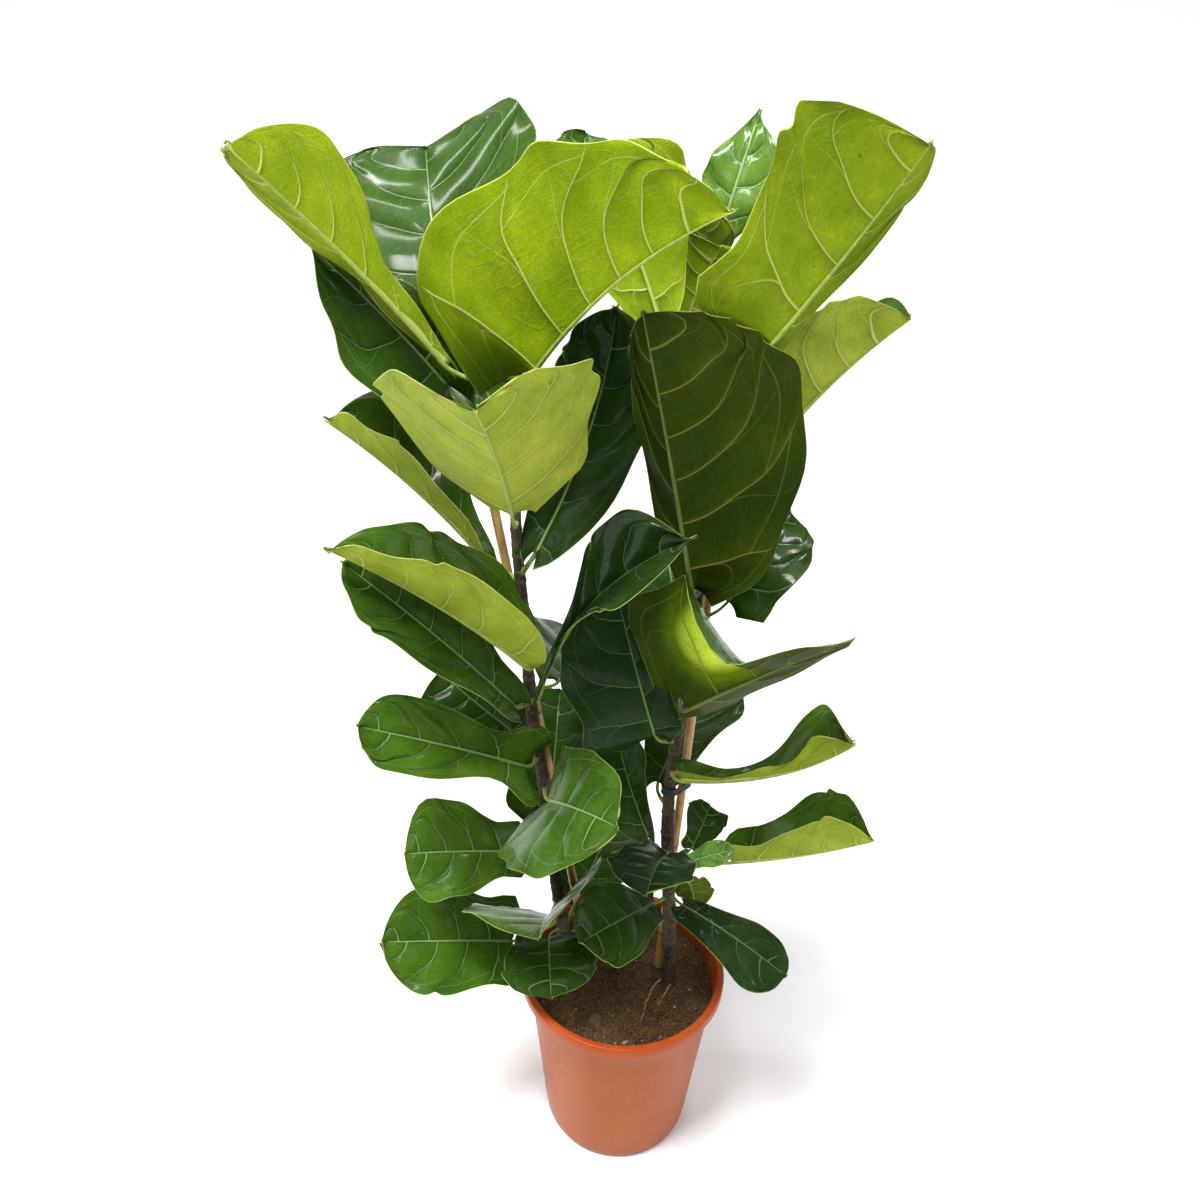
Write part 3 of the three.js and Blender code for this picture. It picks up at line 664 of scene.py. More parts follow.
def stem(side):
    rough_length = STEM_ROUTES[side][-1][2] - STEM_FOOT
    route = smooth_route(STEM_ROUTES[side], int(rough_length / STEM_STEP))
    share = np.linspace(0, 1, len(route))
    radii = STEM_RADIUS_LOW + (STEM_RADIUS_TOP - STEM_RADIUS_LOW) * share
    heights = route[:, 2]
    scars = np.arange(STEM_FOOT + SCAR_START, heights[-1], SCAR_GAP)
    scars = scars + 6 * np.sin(scars * 0.7)
    near = np.min([np.abs(heights - scar) for scar in scars], axis=0)
    ring = np.exp(-((near / SCAR_WIDTH) ** 2))
    points, faces = tube(route, radii - BARK_ROOM + SCAR_HEIGHT * ring, STEM_SIDES)
    for k, point in enumerate(points[:-2]):
        centre = route[k // STEM_SIDES]
        lump = noise.fractal(Vector(point) * 0.16, 0.9, 2.2, 4)
        points[k] = centre + (point - centre) * (1 + BARK_LUMPS * lump)
    made = make_piece(f"woody_stem_{side}", points, faces, [STEM_FINISH], f"stem_{side}")
    set_values(made, "scar", [*np.repeat(ring, STEM_SIDES), 0, 0])
    set_values(made, "young", [*np.repeat(share, STEM_SIDES), 0, 1])


def stem_finish():
    """Rough bark: near black in its cracks, grey-brown on its ridges, green where it is young."""
    material, tree = new_finish("bark", Specular_IOR_Level=0.4)
    cracks, ridges = mottle(tree, scale=420, sharpness=0.5,
                            low=linear(26, 19, 14), high=linear(88, 72, 56), rise=0.3)
    patches, age = mottle(tree, scale=60, sharpness=0.5,
                          low=linear(34, 26, 20), high=linear(96, 88, 66), rise=0.5)
    bark = blend(tree, 0.45, cracks, patches)
    green = times(tree, between(tree, read_value(tree, "young"), 0.35, 1.0), age)
    bark = tint(tree, bark, green, 0.7, linear(88, 104, 48))
    pores = specks(tree, scale=330, amount=0.2, size=0.34, rise=1.7)
    bark = tint(tree, bark, pores, 0.65, linear(168, 154, 124))
    bark = tint(tree, bark, read_value(tree, "scar"), 0.55, linear(112, 92, 64))
    height = maths(tree, "MULTIPLY_ADD", pores, 0.6, ridges)
    lay_on(tree, bark, bump=(height, 0.8, 0.0011), rough=(ridges, -0.15, 0.85))
    return material


STEM_FINISH = stem_finish()
for side in STEM_ROUTES:
    stem(side)


# ---------------------------------------------------------------- growing tips
# Each stem ends in a closed spear of new leaf wrapped in a papery brown sheath, which splits
# along one side as the leaf inside swells.

BUD_HEIGHT = 34
BUD_RADIUS = 4.6
BUD_GAP = 0.3
BUD_SIDES = 32
BUD_RINGS = 40
BUD_TWIST = 2.6
BUD_OUTLINE = ((0, 0.35), (0.03, 0.82), (0.12, 0.98), (0.22, 1.0), (0.36, 0.9), (0.5, 0.74),
               (0.65, 0.55), (0.8, 0.34), (0.92, 0.15), (1.0, 0.02))


def growing_tip(side):
    route = smooth_route(STEM_ROUTES[side], 200)
    lean = route[-1] - route[-2]
    lean /= np.linalg.norm(lean)
    shares = np.linspace(0, 1, BUD_RINGS)
    widths = np.interp(shares, *zip(*BUD_OUTLINE))
    centres = [route[-1] + lean * (BUD_GAP + share * BUD_HEIGHT) for share in shares]
    points, faces = tube(centres, widths * BUD_RADIUS, BUD_SIDES)
    for k, point in enumerate(points[:-2]):
        ring, spoke = divmod(k, BUD_SIDES)
        angle = 2 * math.pi * spoke / BUD_SIDES + BUD_TWIST * shares[ring]
        pleat = 0.05 * math.sin(3 * angle) - 0.14 * math.exp(-((math.sin(angle / 2) / 0.14) ** 2))
        points[k] = centres[ring] + (point - centres[ring]) * (1 + pleat)
    made = make_piece(f"leaf_spear_{side}", points, faces, [BUD_FINISH], f"growing_tip_{side}")
    set_values(made, "young", [*np.repeat(shares, BUD_SIDES), 0, 1])


def bud_finish():
    """A dry brown sheath over green, streaked lengthwise."""
    material, tree = new_finish("bud_sheath", Coat_Weight=0.1)
    streaks, grain = mottle(tree, scale=700, sharpness=0.4,
                            low=linear(88, 62, 28), high=linear(150, 128, 62), rise=0.12)
    dry = between(tree, read_value(tree, "young"), 0.1, 0.9)
    sheath = blend(tree, 0.35, blend(tree, dry, linear(96, 122, 44), streaks), streaks)
    lay_on(tree, sheath, bump=(grain, 0.4, 0.0005), rough=(grain, 0.2, 0.42))
    return material


BUD_FINISH = bud_finish()
for side in STEM_ROUTES:
    growing_tip(side)


# ---------------------------------------------------------------- roots
# Two dry, thin roots have come up beside the right stem and wander forward over the
# soil, pale against the peat.

ROOT_PLANS = {
    "long": ((45, -6), (38, -18), (31, -36), (25, -64)),
    "short": ((57, -12), (53, -22), (48, -32), (44, -42)),
}
ROOT_RADIUS = 1.2
ROOT_LIFT = 0.6


def root(name):
    """Follows the plan that the frame's root has, with small kinks of its own."""
    mound = pot_inner_radius(SOIL_EDGE_HEIGHT)
    plan = []
    for x, y in ROOT_PLANS[name]:
        height = SOIL_EDGE_HEIGHT + SOIL_MOUND * (1 - (math.hypot(x, y) / mound) ** 2)
        plan.append((x, y, height + ROOT_RADIUS + ROOT_LIFT))
    route = smooth_route(plan, 70)
    for k, point in enumerate(route):
        point[0] += 0.5 * math.sin(k * 0.55) + 0.35 * math.sin(k * 0.23 + 1)
        point[2] += 0.25 * math.sin(k * 0.4)
    radii = np.linspace(ROOT_RADIUS, ROOT_RADIUS / 2, len(route))
    radii = radii * (0.78 + 0.1 * np.sin(np.arange(len(route)) * 0.9))
    points, faces = tube(route, radii, 10)
    make_piece(f"surface_root_{name}", points, faces, [ROOT_FINISH], f"root_{name}")


def root_finish():
    """Dry tan skin with darker kinks."""
    material, tree = new_finish("root_skin", Roughness=0.8)
    skin, grain = mottle(tree, scale=330, sharpness=0.4,
                         low=linear(128, 92, 62), high=linear(206, 176, 138))
    lay_on(tree, skin, bump=(grain, 0.5, 0.0004))
    return material


ROOT_FINISH = root_finish()
for name in ROOT_PLANS:
    root(name)


# ---------------------------------------------------------------- ties
# Four soft black straps hold the stems to their canes. Each is a flat band drawn round both,
# with a thickened bead along either edge.

TIE_WIDTH = 9
TIE_THICKNESS = 1.4
TIE_BEAD = 0.7
TIE_SLACK = 0.7
TIE_HEIGHTS = {
    "left": {"lower": 470, "upper": 690},
    "right": {"lower": 495, "upper": 680},
}
TIE_ROUND_STEPS = 20
TIE_CREASE = 50


def band_section():
    """The strap's cross-section as (height, way out), beaded at both edges."""
    edge = TIE_WIDTH / 2 - TIE_BEAD
    bead = [(edge + TIE_BEAD * math.cos(a), TIE_THICKNESS / 2 + TIE_BEAD * math.sin(a))
            for a in np.linspace(math.pi * 0.75, -math.pi * 0.75, 9)]
    other = [(-height, TIE_THICKNESS - out) for height, out in bead]
    return bead + [(0.0, TIE_BEAD / 2)] + other + [(0.0, TIE_THICKNESS - TIE_BEAD / 2)]


def tie(side, place):
    height = TIE_HEIGHTS[side][place]
    route = smooth_route(STEM_ROUTES[side], 600)
    at = int(np.argmin(np.abs(route[:, 2] - height)))
    centre = route[at]
    along = route[at + 1] - route[at - 1]
    along /= np.linalg.norm(along)
    foot, head = (np.array(end, float) for end in CANE_ENDS[side])
    on_cane = foot + (head - foot) * (centre[2] - foot[2]) / (head[2] - foot[2])
    across = on_cane - centre
    across -= along * np.dot(across, along)
    reach = np.linalg.norm(across) / 2
    across /= 2 * reach
    other = np.cross(along, across)
    taper = (STEM_RADIUS_TOP - STEM_RADIUS_LOW) * at / (len(route) - 1)
    inner = STEM_RADIUS_LOW + taper + TIE_SLACK
    section = band_section()
    points = []
    for turn, shift in ((-90, reach), (90, -reach)):
        for k in range(TIE_ROUND_STEPS + 1):
            angle = math.radians(turn + 180 * k / TIE_ROUND_STEPS)
            outward = across * math.cos(angle) + other * math.sin(angle)
            middle = centre + across * reach + across * shift
            points += [middle + outward * (inner + out) + along * up for up, out in section]
    count = len(section)
    faces = []
    for here in range(0, len(points), count):
        there = (here + count) % len(points)
        for k in range(count):
            after = (k + 1) % count
            faces.append((here + k, there + k, there + after, here + after))
    make_piece(f"strap_{side}_{place}", points, faces, [TIE_FINISH], f"tie_{side}_{place}",
               sharp=TIE_CREASE)


def tie_finish():
    """Matt black soft plastic with a dusty bloom."""
    material, tree = new_finish("tie_strap", Specular_IOR_Level=0.4)
    bloom, film = mottle(tree, scale=260, sharpness=0.3,
                         low=linear(20, 21, 20), high=linear(46, 47, 44))
    lay_on(tree, bloom, bump=(film, 0.2, 0.0003), rough=(film, 0.2, 0.45))
    return material


TIE_FINISH = tie_finish()
for side, heights in TIE_HEIGHTS.items():
    for place in heights:
        tie(side, place)


# ---------------------------------------------------------------- leaves
# Forty-four leathery leaves, each with the stalk it grows on. A blade is fiddle shaped: two ears
# at the stalk, a waist and a broad end. It puckers up between its side veins and waves along its
# pale margin. Tops are dark and glossy, undersides olive to yellow-green. Each leaf's lightness
# is partly its own and partly painted: painted shade on leaves deep in the plant, painted
# highlight on two pale tops, and a painted glow where light shines through an underside.

BLADE_THICKNESS = 0.8
MARGIN_THICKNESS = 0.55
MIDRIB_RADIUS = 2.0
MIDRIB_LEAST_RADIUS = 0.35
MIDRIB_TAPER = 0.75
STALK_FOOT_RADIUS = 3.6
STALK_SIDES = 12
STALK_STEPS = 30
DRIP_TIP_START = 0.985
DRIP_TIP_HALF_WIDTH = 1.6
DRIP_TIP_ROWS = {0.955, 0.97, 0.98, 0.988, 0.994}
PLAIN_LENGTH = 200
WALK_STEPS = 6
VEIN_GAP = 42
VEIN_PAIRS = (4, 6)
VEIN_FIRST = 0.42
VEIN_SPARE = 0.25
VEIN_STAGGER = 0.28
VEIN_RISE = 0.55
VEIN_SINK = 0.25
VEIN_HALF_WIDTH = 1.3
VEIN_SWEEP = 0.28
PUCKER = 2.6
MARGIN_WAVE = 3
MARGIN_SCALLOP = 0.035
LOBING = 0.04
FLUTTER = 1.8
SWELL = 2.5
ROW_STEP = 4.5
COLUMNS = (0, 0.02, 0.05, 0.09, 0.14, 0.2, 0.265, 0.33, 0.4, 0.47, 0.54, 0.61, 0.68, 0.745, 0.81,
           0.87, 0.92, 0.96, 0.985, 1)


def unit(vectors):
    return vectors / np.maximum(np.linalg.norm(vectors, axis=-1, keepdims=True), 1e-9)


def stem_centre(side, height):
    route = smooth_route(STEM_ROUTES[side], 600)
    return np.array([np.interp(height, route[:, 2], route[:, axis]) for axis in range(3)])


def leaf(stem, number, node, base, tip, face, width, **shape):
    """The height on its stem where the stalk starts, where the blade starts and ends, which way
    its upper side faces, its width, and what differs from a plain leaf. Pairs are for the left
    and right half. fold, hood and curl are degrees up from flat at the midrib, more over the outer
    part, and more on to the margin; bow and sway bend the midrib; belly is where it is widest;
    ear, lobe and reach say how its ends spread, and fill how full its outline is; top and under
    are how light each side is, partly its own colour and partly painted shade on leaves deep in the
    plant and painted highlight on the pale tops of right 16 and 17; lit is how strong a painted
    glow of light shining through the underside is; and wax is how the top shines."""
    made = dict(bow=8, sway=0, fold=(12, 12), hood=(0, 0), curl=(10, 10), halves=(1, 1), ear=0.34,
                belly=0.68, fill=0.5, lobe=0, reach=0.075, top=0.3, under=0.3, lit=0, wax="satin")
    made.update(shape)
    base, tip, face = (np.array(given, float) for given in (base, tip, face))
    length = np.linalg.norm(tip - base)
    chord = (tip - base) / length
    up = unit(face - chord * np.dot(face, chord))
    crown = (base + tip) / 2 + up * 2 * made["bow"] + np.cross(chord, up) * 2 * made["sway"]
    made.update(name=f"leaf_{stem}_{number:02d}", joint=stem_centre(stem, node), base=base, tip=tip,
                crown=crown, up=up, length=length, width=width)
    return made


# Low top and under numbers paint shade on leaves deep in the plant as well as their colour.
LEAVES = [
    leaf("left", 1, 285, (-85, -25, 295), (-75, -95, 280), (0, -0.6, 0.8), 105,
         belly=0.6, top=0.25),
    leaf("left", 2, 300, (-130, -10, 270), (-268, -60, 308), (-0.2, -0.6, 0.75), 120,
         belly=0.55, ear=0.4, top=0.42),
    leaf("left", 3, 335, (-85, -20, 325), (-85, -115, 390), (0, 0.25, 0.9), 170,
         fold=(45, 0), belly=0.6, top=0.4, under=0.35),
    leaf("left", 4, 400, (-120, 0, 397), (-240, -40, 420), (-0.3, -0.6, 0.75), 115, top=0.45),
    leaf("left", 5, 490, (-85, -35, 500), (-10, -140, 560), (-0.5, -0.25, 0.85), 160,
         fold=(20, 0), halves=(0.7, 1), belly=0.45, lobe=0.1, top=0.4, under=0.4),
    leaf("left", 6, 530, (-110, -25, 535), (-265, -80, 612), (0.1, -0.65, 0.75), 80,
         ear=0.9, lobe=0.05, top=0.45),
    leaf("left", 7, 540, (-126, 16, 545), (-210, 42, 600), (0, -0.8, 0.6), 105, top=0.2),
    leaf("left", 8, 600, (-122, -22, 607), (-270, -60, 775), (0.35, -0.6, 0.7), 110,
         fold=(30, 10), ear=0.2, top=0.38),
    leaf("left", 9, 645, (-108, -30, 658), (-270, -90, 800), (0.2, -0.1, 1), 140,
         fold=(52, 42), halves=(1, 0.9), belly=0.45, ear=0.05, reach=0.02, top=0.45, under=0.75,
         lit=0.3),
    leaf("left", 10, 735, (-152, 0, 757), (-292, 5, 882), (0.4, -0.1, 0.8), 130,
         fold=(60, 35), halves=(0.6, 1.1), ear=0.05, belly=0.72, top=0.35, under=0.75, lit=0.3,
         wax="waxy"),
    leaf("left", 11, 795, (-115, -62, 828), (-125, -165, 950), (0, 0.8, 0.4), 205,
         fold=(38, 26), halves=(1, 1.12), belly=0.5, ear=0.2, top=0.4, under=0.82, lit=0.2),
    leaf("left", 12, 870, (-185, 28, 913), (-298, 20, 1032), (0.5, -0.7, 0.4), 130,
         halves=(1, 0.6), belly=0.32, ear=0.1, lobe=0.1, fill=1.2, top=0.25, under=0.5, wax="waxy"),
    leaf("left", 13, 930, (-180, 0, 940), (-325, -60, 1112), (0.5, 0.7, 0.4), 125,
         fold=(85, 5), belly=0.72, fill=0.9, ear=0.1, sway=6, top=0.45, under=0.62, lit=0.7),
    leaf("left", 14, 950, (-198, 78, 985), (-228, 178, 1100), (0, -0.8, 0.6), 255,
         fold=(10, 30), halves=(0.8, 1), belly=0.6, fill=0.4, reach=0.04, top=0.36, under=0.5,
         wax="waxy"),
    leaf("left", 15, 940, (-100, -40, 945), (45, -160, 1090), (0.5, 0.85, 0.2), 255,
         fold=(100, 0), halves=(0.4, 1), belly=0.25, fill=0.6, ear=0.2, lobe=0.25, reach=0, sway=14,
         top=0.45, under=0.7, lit=1),
    leaf("left", 16, 955, (-78, 75, 1055), (-70, 105, 1120), (0, -0.6, 0.7), 50,
         ear=0.1, top=0.4, under=0.5, lit=0.5),
    leaf("left", 17, 740, (-102, -5, 768), (-34, 6, 996), (-0.3, -0.8, 0.2), 115,
         fold=(12, 0), halves=(0.75, 1), bow=-32, belly=0.6, ear=0.1, top=0.12, under=0.4),
    leaf("left", 18, 600, (-98, -15, 614), (40, -60, 815), (-0.3, -0.8, 0.3), 160,
         fold=(15, 66), halves=(0.65, 1), ear=0.05, belly=0.78, fill=1.1, sway=-24, top=0.15,
         under=0.4, wax="waxy"),
    leaf("left", 19, 420, (-90, 30, 430), (-95, 190, 490), (0, -0.5, 0.85), 175, top=0.25),
    leaf("left", 20, 612, (-84, 28, 605), (-52, 185, 556), (0, -0.5, 0.85), 165,
         ear=0.15, top=0.25),
    leaf("left", 21, 270, (-62, 32, 290), (-22, 150, 315), (0, -0.6, 0.8), 130,
         ear=0.15, under=0.4),
    leaf("left", 22, 850, (-140, 50, 860), (-200, 185, 930), (0, -0.4, 0.9), 135,
         ear=0.05, under=0.4),
    leaf("right", 1, 350, (63, -18, 352), (175, -80, 320), (0, -0.4, 0.9), 90,
         fold=(-20, 12), halves=(0.75, 1), ear=0.25, top=0.08),
    leaf("right", 2, 345, (30, -20, 352), (-45, -110, 380), (0, -0.6, 0.8), 90, ear=0.25, top=0.22),
    leaf("right", 3, 415, (42, -15, 420), (20, -105, 445), (-0.3, -0.3, 0.9), 95,
         fold=(5, 30), top=0.05),
    leaf("right", 4, 380, (112, -20, 420), (245, -60, 495), (0, -0.3, 0.9), 110,
         fold=(25, 95), halves=(1.1, 0.8), bow=-6, top=0.42, under=0.7),
    leaf("right", 5, 395, (70, 20, 400), (90, 60, 430), (0, -0.8, 0.5), 50),
    leaf("right", 6, 350, (65, 20, 355), (85, 60, 275), (0, 0.8, 0.6), 50),
    leaf("right", 7, 405, (22, 12, 420), (-24, 75, 530), (-0.3, -0.9, 0.1), 110,
         halves=(1.1, 0.6), ear=0.1, top=0.2),
    leaf("right", 8, 520, (50, -20, 525), (210, -60, 610), (0, -0.3, 0.9), 105,
         fold=(15, 100), halves=(1.1, 0.5), bow=-22, belly=0.8, fill=0.7, top=0.42, under=0.6),
    leaf("right", 9, 560, (20, -16, 577), (-25, 25, 715), (-0.1, -0.9, 0.3), 145,
         fold=(5, 0), curl=(5, 0), halves=(1, 0.4), ear=0.5, belly=0.5, top=0.08),
    # right_10's sunny place is a painted glow of light shining through its underside.
    leaf("right", 10, 620, (50, -50, 633), (180, -105, 750), (0.45, 0.9, 0), 210,
         fold=(60, 0), hood=(0, -70), halves=(0.6, 1.1), belly=0.33, fill=0.8, ear=0.3, lobe=0.05,
         top=0.4, under=0.02, sunny=((66, -50, 714), 46)),
    leaf("right", 11, 735, (45, -30, 750), (-12, -50, 1002), (0, 0.9, 0.4), 238,
         fold=(10, 35), halves=(1, 0.3), belly=0.5, fill=0.55, ear=0.1, top=0.35, under=0),
    leaf("right", 12, 700, (82, 0, 725), (138, 55, 798), (0, -0.9, 0.3), 85, belly=0.5, wax="waxy"),
    leaf("right", 13, 860, (125, 35, 888), (212, 15, 992), (0, 0.9, 0.4), 142,
         fold=(95, 5), belly=0.3, fill=0.45, ear=0.3, top=0.4, under=0.8, lit=0.2),
    leaf("right", 14, 920, (94, -16, 972), (194, -30, 1128), (0, 0.9, 0.4), 195,
         fold=(30, 5), halves=(0.3, 1), belly=0.62, fill=0.4, reach=0.14, ear=0.4, sway=-6,
         top=0.45, under=0.52, lit=0.65),
    leaf("right", 15, 948, (36, 46, 985), (38, 46, 1065), (0, 0.9, 0.4), 52,
         ear=0.1, top=0.5, under=0.6, lit=0.4),
    # right_16's pale top is partly a painted highlight.
    leaf("right", 16, 915, (48, 75, 1035), (78, 108, 1143), (0, -0.9, 0.4), 90,
         fold=(-25, 10), halves=(0.7, 0.8), belly=0.5, fill=1.1, reach=0, ear=0.1, top=0.72,
         under=0.5, wax="waxy"),
    # right_17's pale top is a painted highlight.
    leaf("right", 17, 400, (60, -25, 415), (110, -40, 455), (-0.2, -0.6, 0.8), 28,
         top=0.9, under=0.5, wax="waxy"),
    leaf("right", 18, 910, (2, 6, 985), (-58, 35, 1112), (0, 0.9, 0.4), 130,
         fold=(0, 0), curl=(0, 0), ear=0.1, top=0.45, under=0.8, lit=0.8),
    leaf("right", 19, 940, (26, 22, 985), (50, 24, 1043), (0, 0.9, 0.4), 85,
         ear=0.1, top=0.45, under=1, lit=1),
    leaf("right", 20, 470, (28, 32, 480), (80, 180, 520), (0, -0.4, 0.9), 120, ear=0.15, top=0.25),
    leaf("right", 21, 640, (40, 34, 655), (20, 190, 710), (0, -0.4, 0.9), 130, ear=0.15, under=0.4),
    leaf("right", 22, 805, (50, 34, 820), (100, 190, 870), (0, -0.4, 0.9), 115,
         ear=0.15, under=0.4),
]
LEAVES_APART = 30.0
HALVES_APART = 10.0
FAR_FROM_MARGIN = 50.0
LEAF_CLEARANCE = 0.3
ROOM = np.array(box_of_frame) / MM + np.array([[LEAF_CLEARANCE], [-LEAF_CLEARANCE]])


def smoothstep(low, high, value):
    share = np.clip((value - low) / (high - low), 0, 1)
    return share * share * (3 - 2 * share)


def outline(leaf, s):
    """Half the width at a share s of the midrib, as a share of the widest half."""
    grown = np.minimum(s / DRIP_TIP_START, 1) ** (math.log(0.5) / math.log(leaf["belly"]))
    body = np.maximum(np.sin(math.pi * grown), 0) ** leaf["fill"]
    ears = leaf["ear"] * np.exp(-(((s - 0.06) / 0.13) ** 2))
    return body + ears + 0.05 * (1.1 - s)


def on_midrib(leaf, s):
    """Points at shares s of the midrib, the direction that it runs in and its upward one."""
    s = np.asarray(s)[..., None]
    base, crown, tip = leaf["base"], leaf["crown"], leaf["tip"]
    point = (1 - s) ** 2 * base + 2 * s * (1 - s) * crown + s ** 2 * tip
    along = unit((1 - s) * (crown - base) + s * (tip - crown))
    up = unit(leaf["up"] - along * np.sum(along * leaf["up"], axis=-1, keepdims=True))
    return point, along, up


def vein_starts(leaf, half):
    """Where the side veins of one half leave the midrib, as shares of its length."""
    pairs = int(np.clip(round(leaf["length"] / VEIN_GAP), *VEIN_PAIRS))
    shift = VEIN_STAGGER * half * (1 if leaf["number"] % 2 else -1)
    return ((np.arange(pairs) + VEIN_FIRST + shift) / (pairs + VEIN_SPARE)) ** 0.92


def leaf_rows(leaf):
    """Rows across the blade: a close set on each side vein, and even ones between."""
    length = leaf["length"]
    rows = DRIP_TIP_ROWS | set(np.linspace(0, 1, max(int(length / ROW_STEP), 14)))
    width = VEIN_HALF_WIDTH / length
    for half in (0, 1):
        for start in vein_starts(leaf, half):
            rows |= {start - width, start, start + width}
    kept = []
    for row in sorted(row for row in rows if 0 <= row <= 1):
        if not kept or row - kept[-1] > 0.35 / length:
            kept.append(row)
    kept[-1] = 1.0
    return kept


def blade_half(leaf, rows, half):
    """Middle surface of the left (0) or right (1) half on a grid of rows and columns, with a count
    along it that is whole on each side vein, and what its thickness and veins are made from.
    v is the share of the half's width, r the row, and s the share of the midrib, which runs ahead
    of r towards the margin as the side veins do."""
    side = 1 if half else -1
    length = leaf["length"]
    size = length / PLAIN_LENGTH
    v = np.array(COLUMNS)[None, :] * np.ones((len(rows), 1))
    r = np.array(rows)[:, None] * np.ones_like(v)
    wander = 0.3 * np.sin(7 * leaf["number"] + 9 * r) + 0.12 * np.sin(11 * v + 13 * r + half)
    s = r + VEIN_SWEEP * v ** 1.8 * 4 * r * (1 - r) * (1 + wander)
    point, along, up = on_midrib(leaf, s)
    fold = leaf["fold"][half] + leaf["hood"][half] * smoothstep(0.3, 0.6, s)
    out = np.zeros_like(v)
    rise = np.zeros_like(v)
    for k in range(WALK_STEPS):
        share = v * (k + 0.5) / WALK_STEPS
        angle = np.radians(fold + leaf["curl"][half] * share)
        out += v / WALK_STEPS * np.cos(angle)
        rise += v / WALK_STEPS * np.sin(angle)
    starts = vein_starts(leaf, half)
    places = np.concatenate([[-0.02], starts, [1.02]])
    counts = np.concatenate([[-0.45], np.arange(len(starts)), [len(starts) - 0.55]])
    count = np.interp(r, places, counts)
    half_width = leaf["width"] / 2 * leaf["halves"][half] * outline(leaf, s)
    half_width = np.maximum(half_width, DRIP_TIP_HALF_WIDTH)
    lobing = np.sin(2 * math.pi * (1.6 * s + 0.37 * leaf["number"] + 0.5 * half))
    scallop = MARGIN_SCALLOP * np.cos(2 * math.pi * count) + LOBING * lobing * (1 - s) + 0.01
    width = half_width * (1 - scallop * v ** 2)
    ripple = MARGIN_WAVE * v * v * np.sin(2 * math.pi * (2.6 * s + 0.25 * side))
    away = np.abs(count - np.round(count))
    quilting = 0.35 * (1 - np.exp(-((away / 0.2) ** 2))) + 0.75 * np.sin(math.pi * away)
    pucker = PUCKER * size * quilting * smoothstep(0, 0.2, v)
    pucker *= 1 - 0.6 * smoothstep(0.8, 1, v)
    flutter = FLUTTER * size * v ** 4 * np.sin(2 * math.pi * count + 0.6)
    flutter += SWELL * size * v ** 2 * np.sin(2 * math.pi * (1.1 * s + 0.21 * leaf["number"]))
    lobes = leaf["lobe"] * np.maximum(1 - s / 0.45, 0) ** 2
    sweep = leaf["reach"] * np.sin(math.pi * (1.35 * s - 0.35)) - lobes
    body = (side * out * width)[..., None] * np.cross(along, up)
    lift = (rise * width + ripple + pucker + flutter)[..., None] * up
    points = point + body + lift + (sweep * length * v * v)[..., None] * along
    pitch = length / (len(starts) + VEIN_SPARE)
    vein = np.clip(1 - away * pitch / VEIN_HALF_WIDTH, 0, 1) ** 0.7 * (1 - v) ** 0.5
    vein *= smoothstep(0.0, 0.05, v)
    return dict(points=points, count=count, v=v, half_width=half_width, vein=vein, pitch=pitch)


def sheet_faces(rows, columns):
    """Faces of the upper grid, and those of the lower grid and the margin between them."""
    count = rows * columns
    upper = []
    lower = []
    for i in range(rows - 1):
        for j in range(columns - 1):
            a = i * columns + j
            c = a + columns
            upper.append((a, a + 1, c + 1, c))
            lower.append((count + a, count + c, count + c + 1, count + a + 1))
    rim = list(range(columns - 1))
    rim += [i * columns + columns - 1 for i in range(rows - 1)]
    rim += [(rows - 1) * columns + j for j in range(columns - 1, 0, -1)]
    rim += [i * columns for i in range(rows - 1, 0, -1)]
    for here, after in zip(rim, rim[1:] + rim[:1]):
        lower.append((here, count + here, count + after, after))
    return upper, lower


def stalk_points(leaf):
    """The stalk and, running on under the blade, its midrib, as one tapering rib."""
    shares = np.linspace(0, 0.97, 22)
    spine, directions, ups = on_midrib(leaf, shares)
    base, joint = spine[0], leaf["joint"]
    reach = np.linalg.norm(base - joint)
    elbow = (base - directions[0] * 0.35 * reach + joint + (base - joint) * 0.6) / 2
    size = math.sqrt(leaf["length"] / PLAIN_LENGTH)
    radii = MIDRIB_RADIUS * size * (1 - shares) ** MIDRIB_TAPER
    radii = np.maximum(radii, MIDRIB_LEAST_RADIUS)
    spine = spine - ups * (radii * 0.62)[:, None]
    stalk = smooth_route([joint, elbow, spine[0], spine[1]], STALK_STEPS)
    stalk = stalk[:-1][np.linalg.norm(stalk[:-1] - spine[1], axis=1) > 3]
    foot = STALK_FOOT_RADIUS * (0.6 + 0.4 * size)
    stalk_radii = radii[0] + (foot - radii[0]) * np.linspace(1, 0, len(stalk)) ** 3
    route = np.vstack([stalk, spine[1:]])
    return tube(route, np.concatenate([stalk_radii, radii[1:]]), STALK_SIDES)


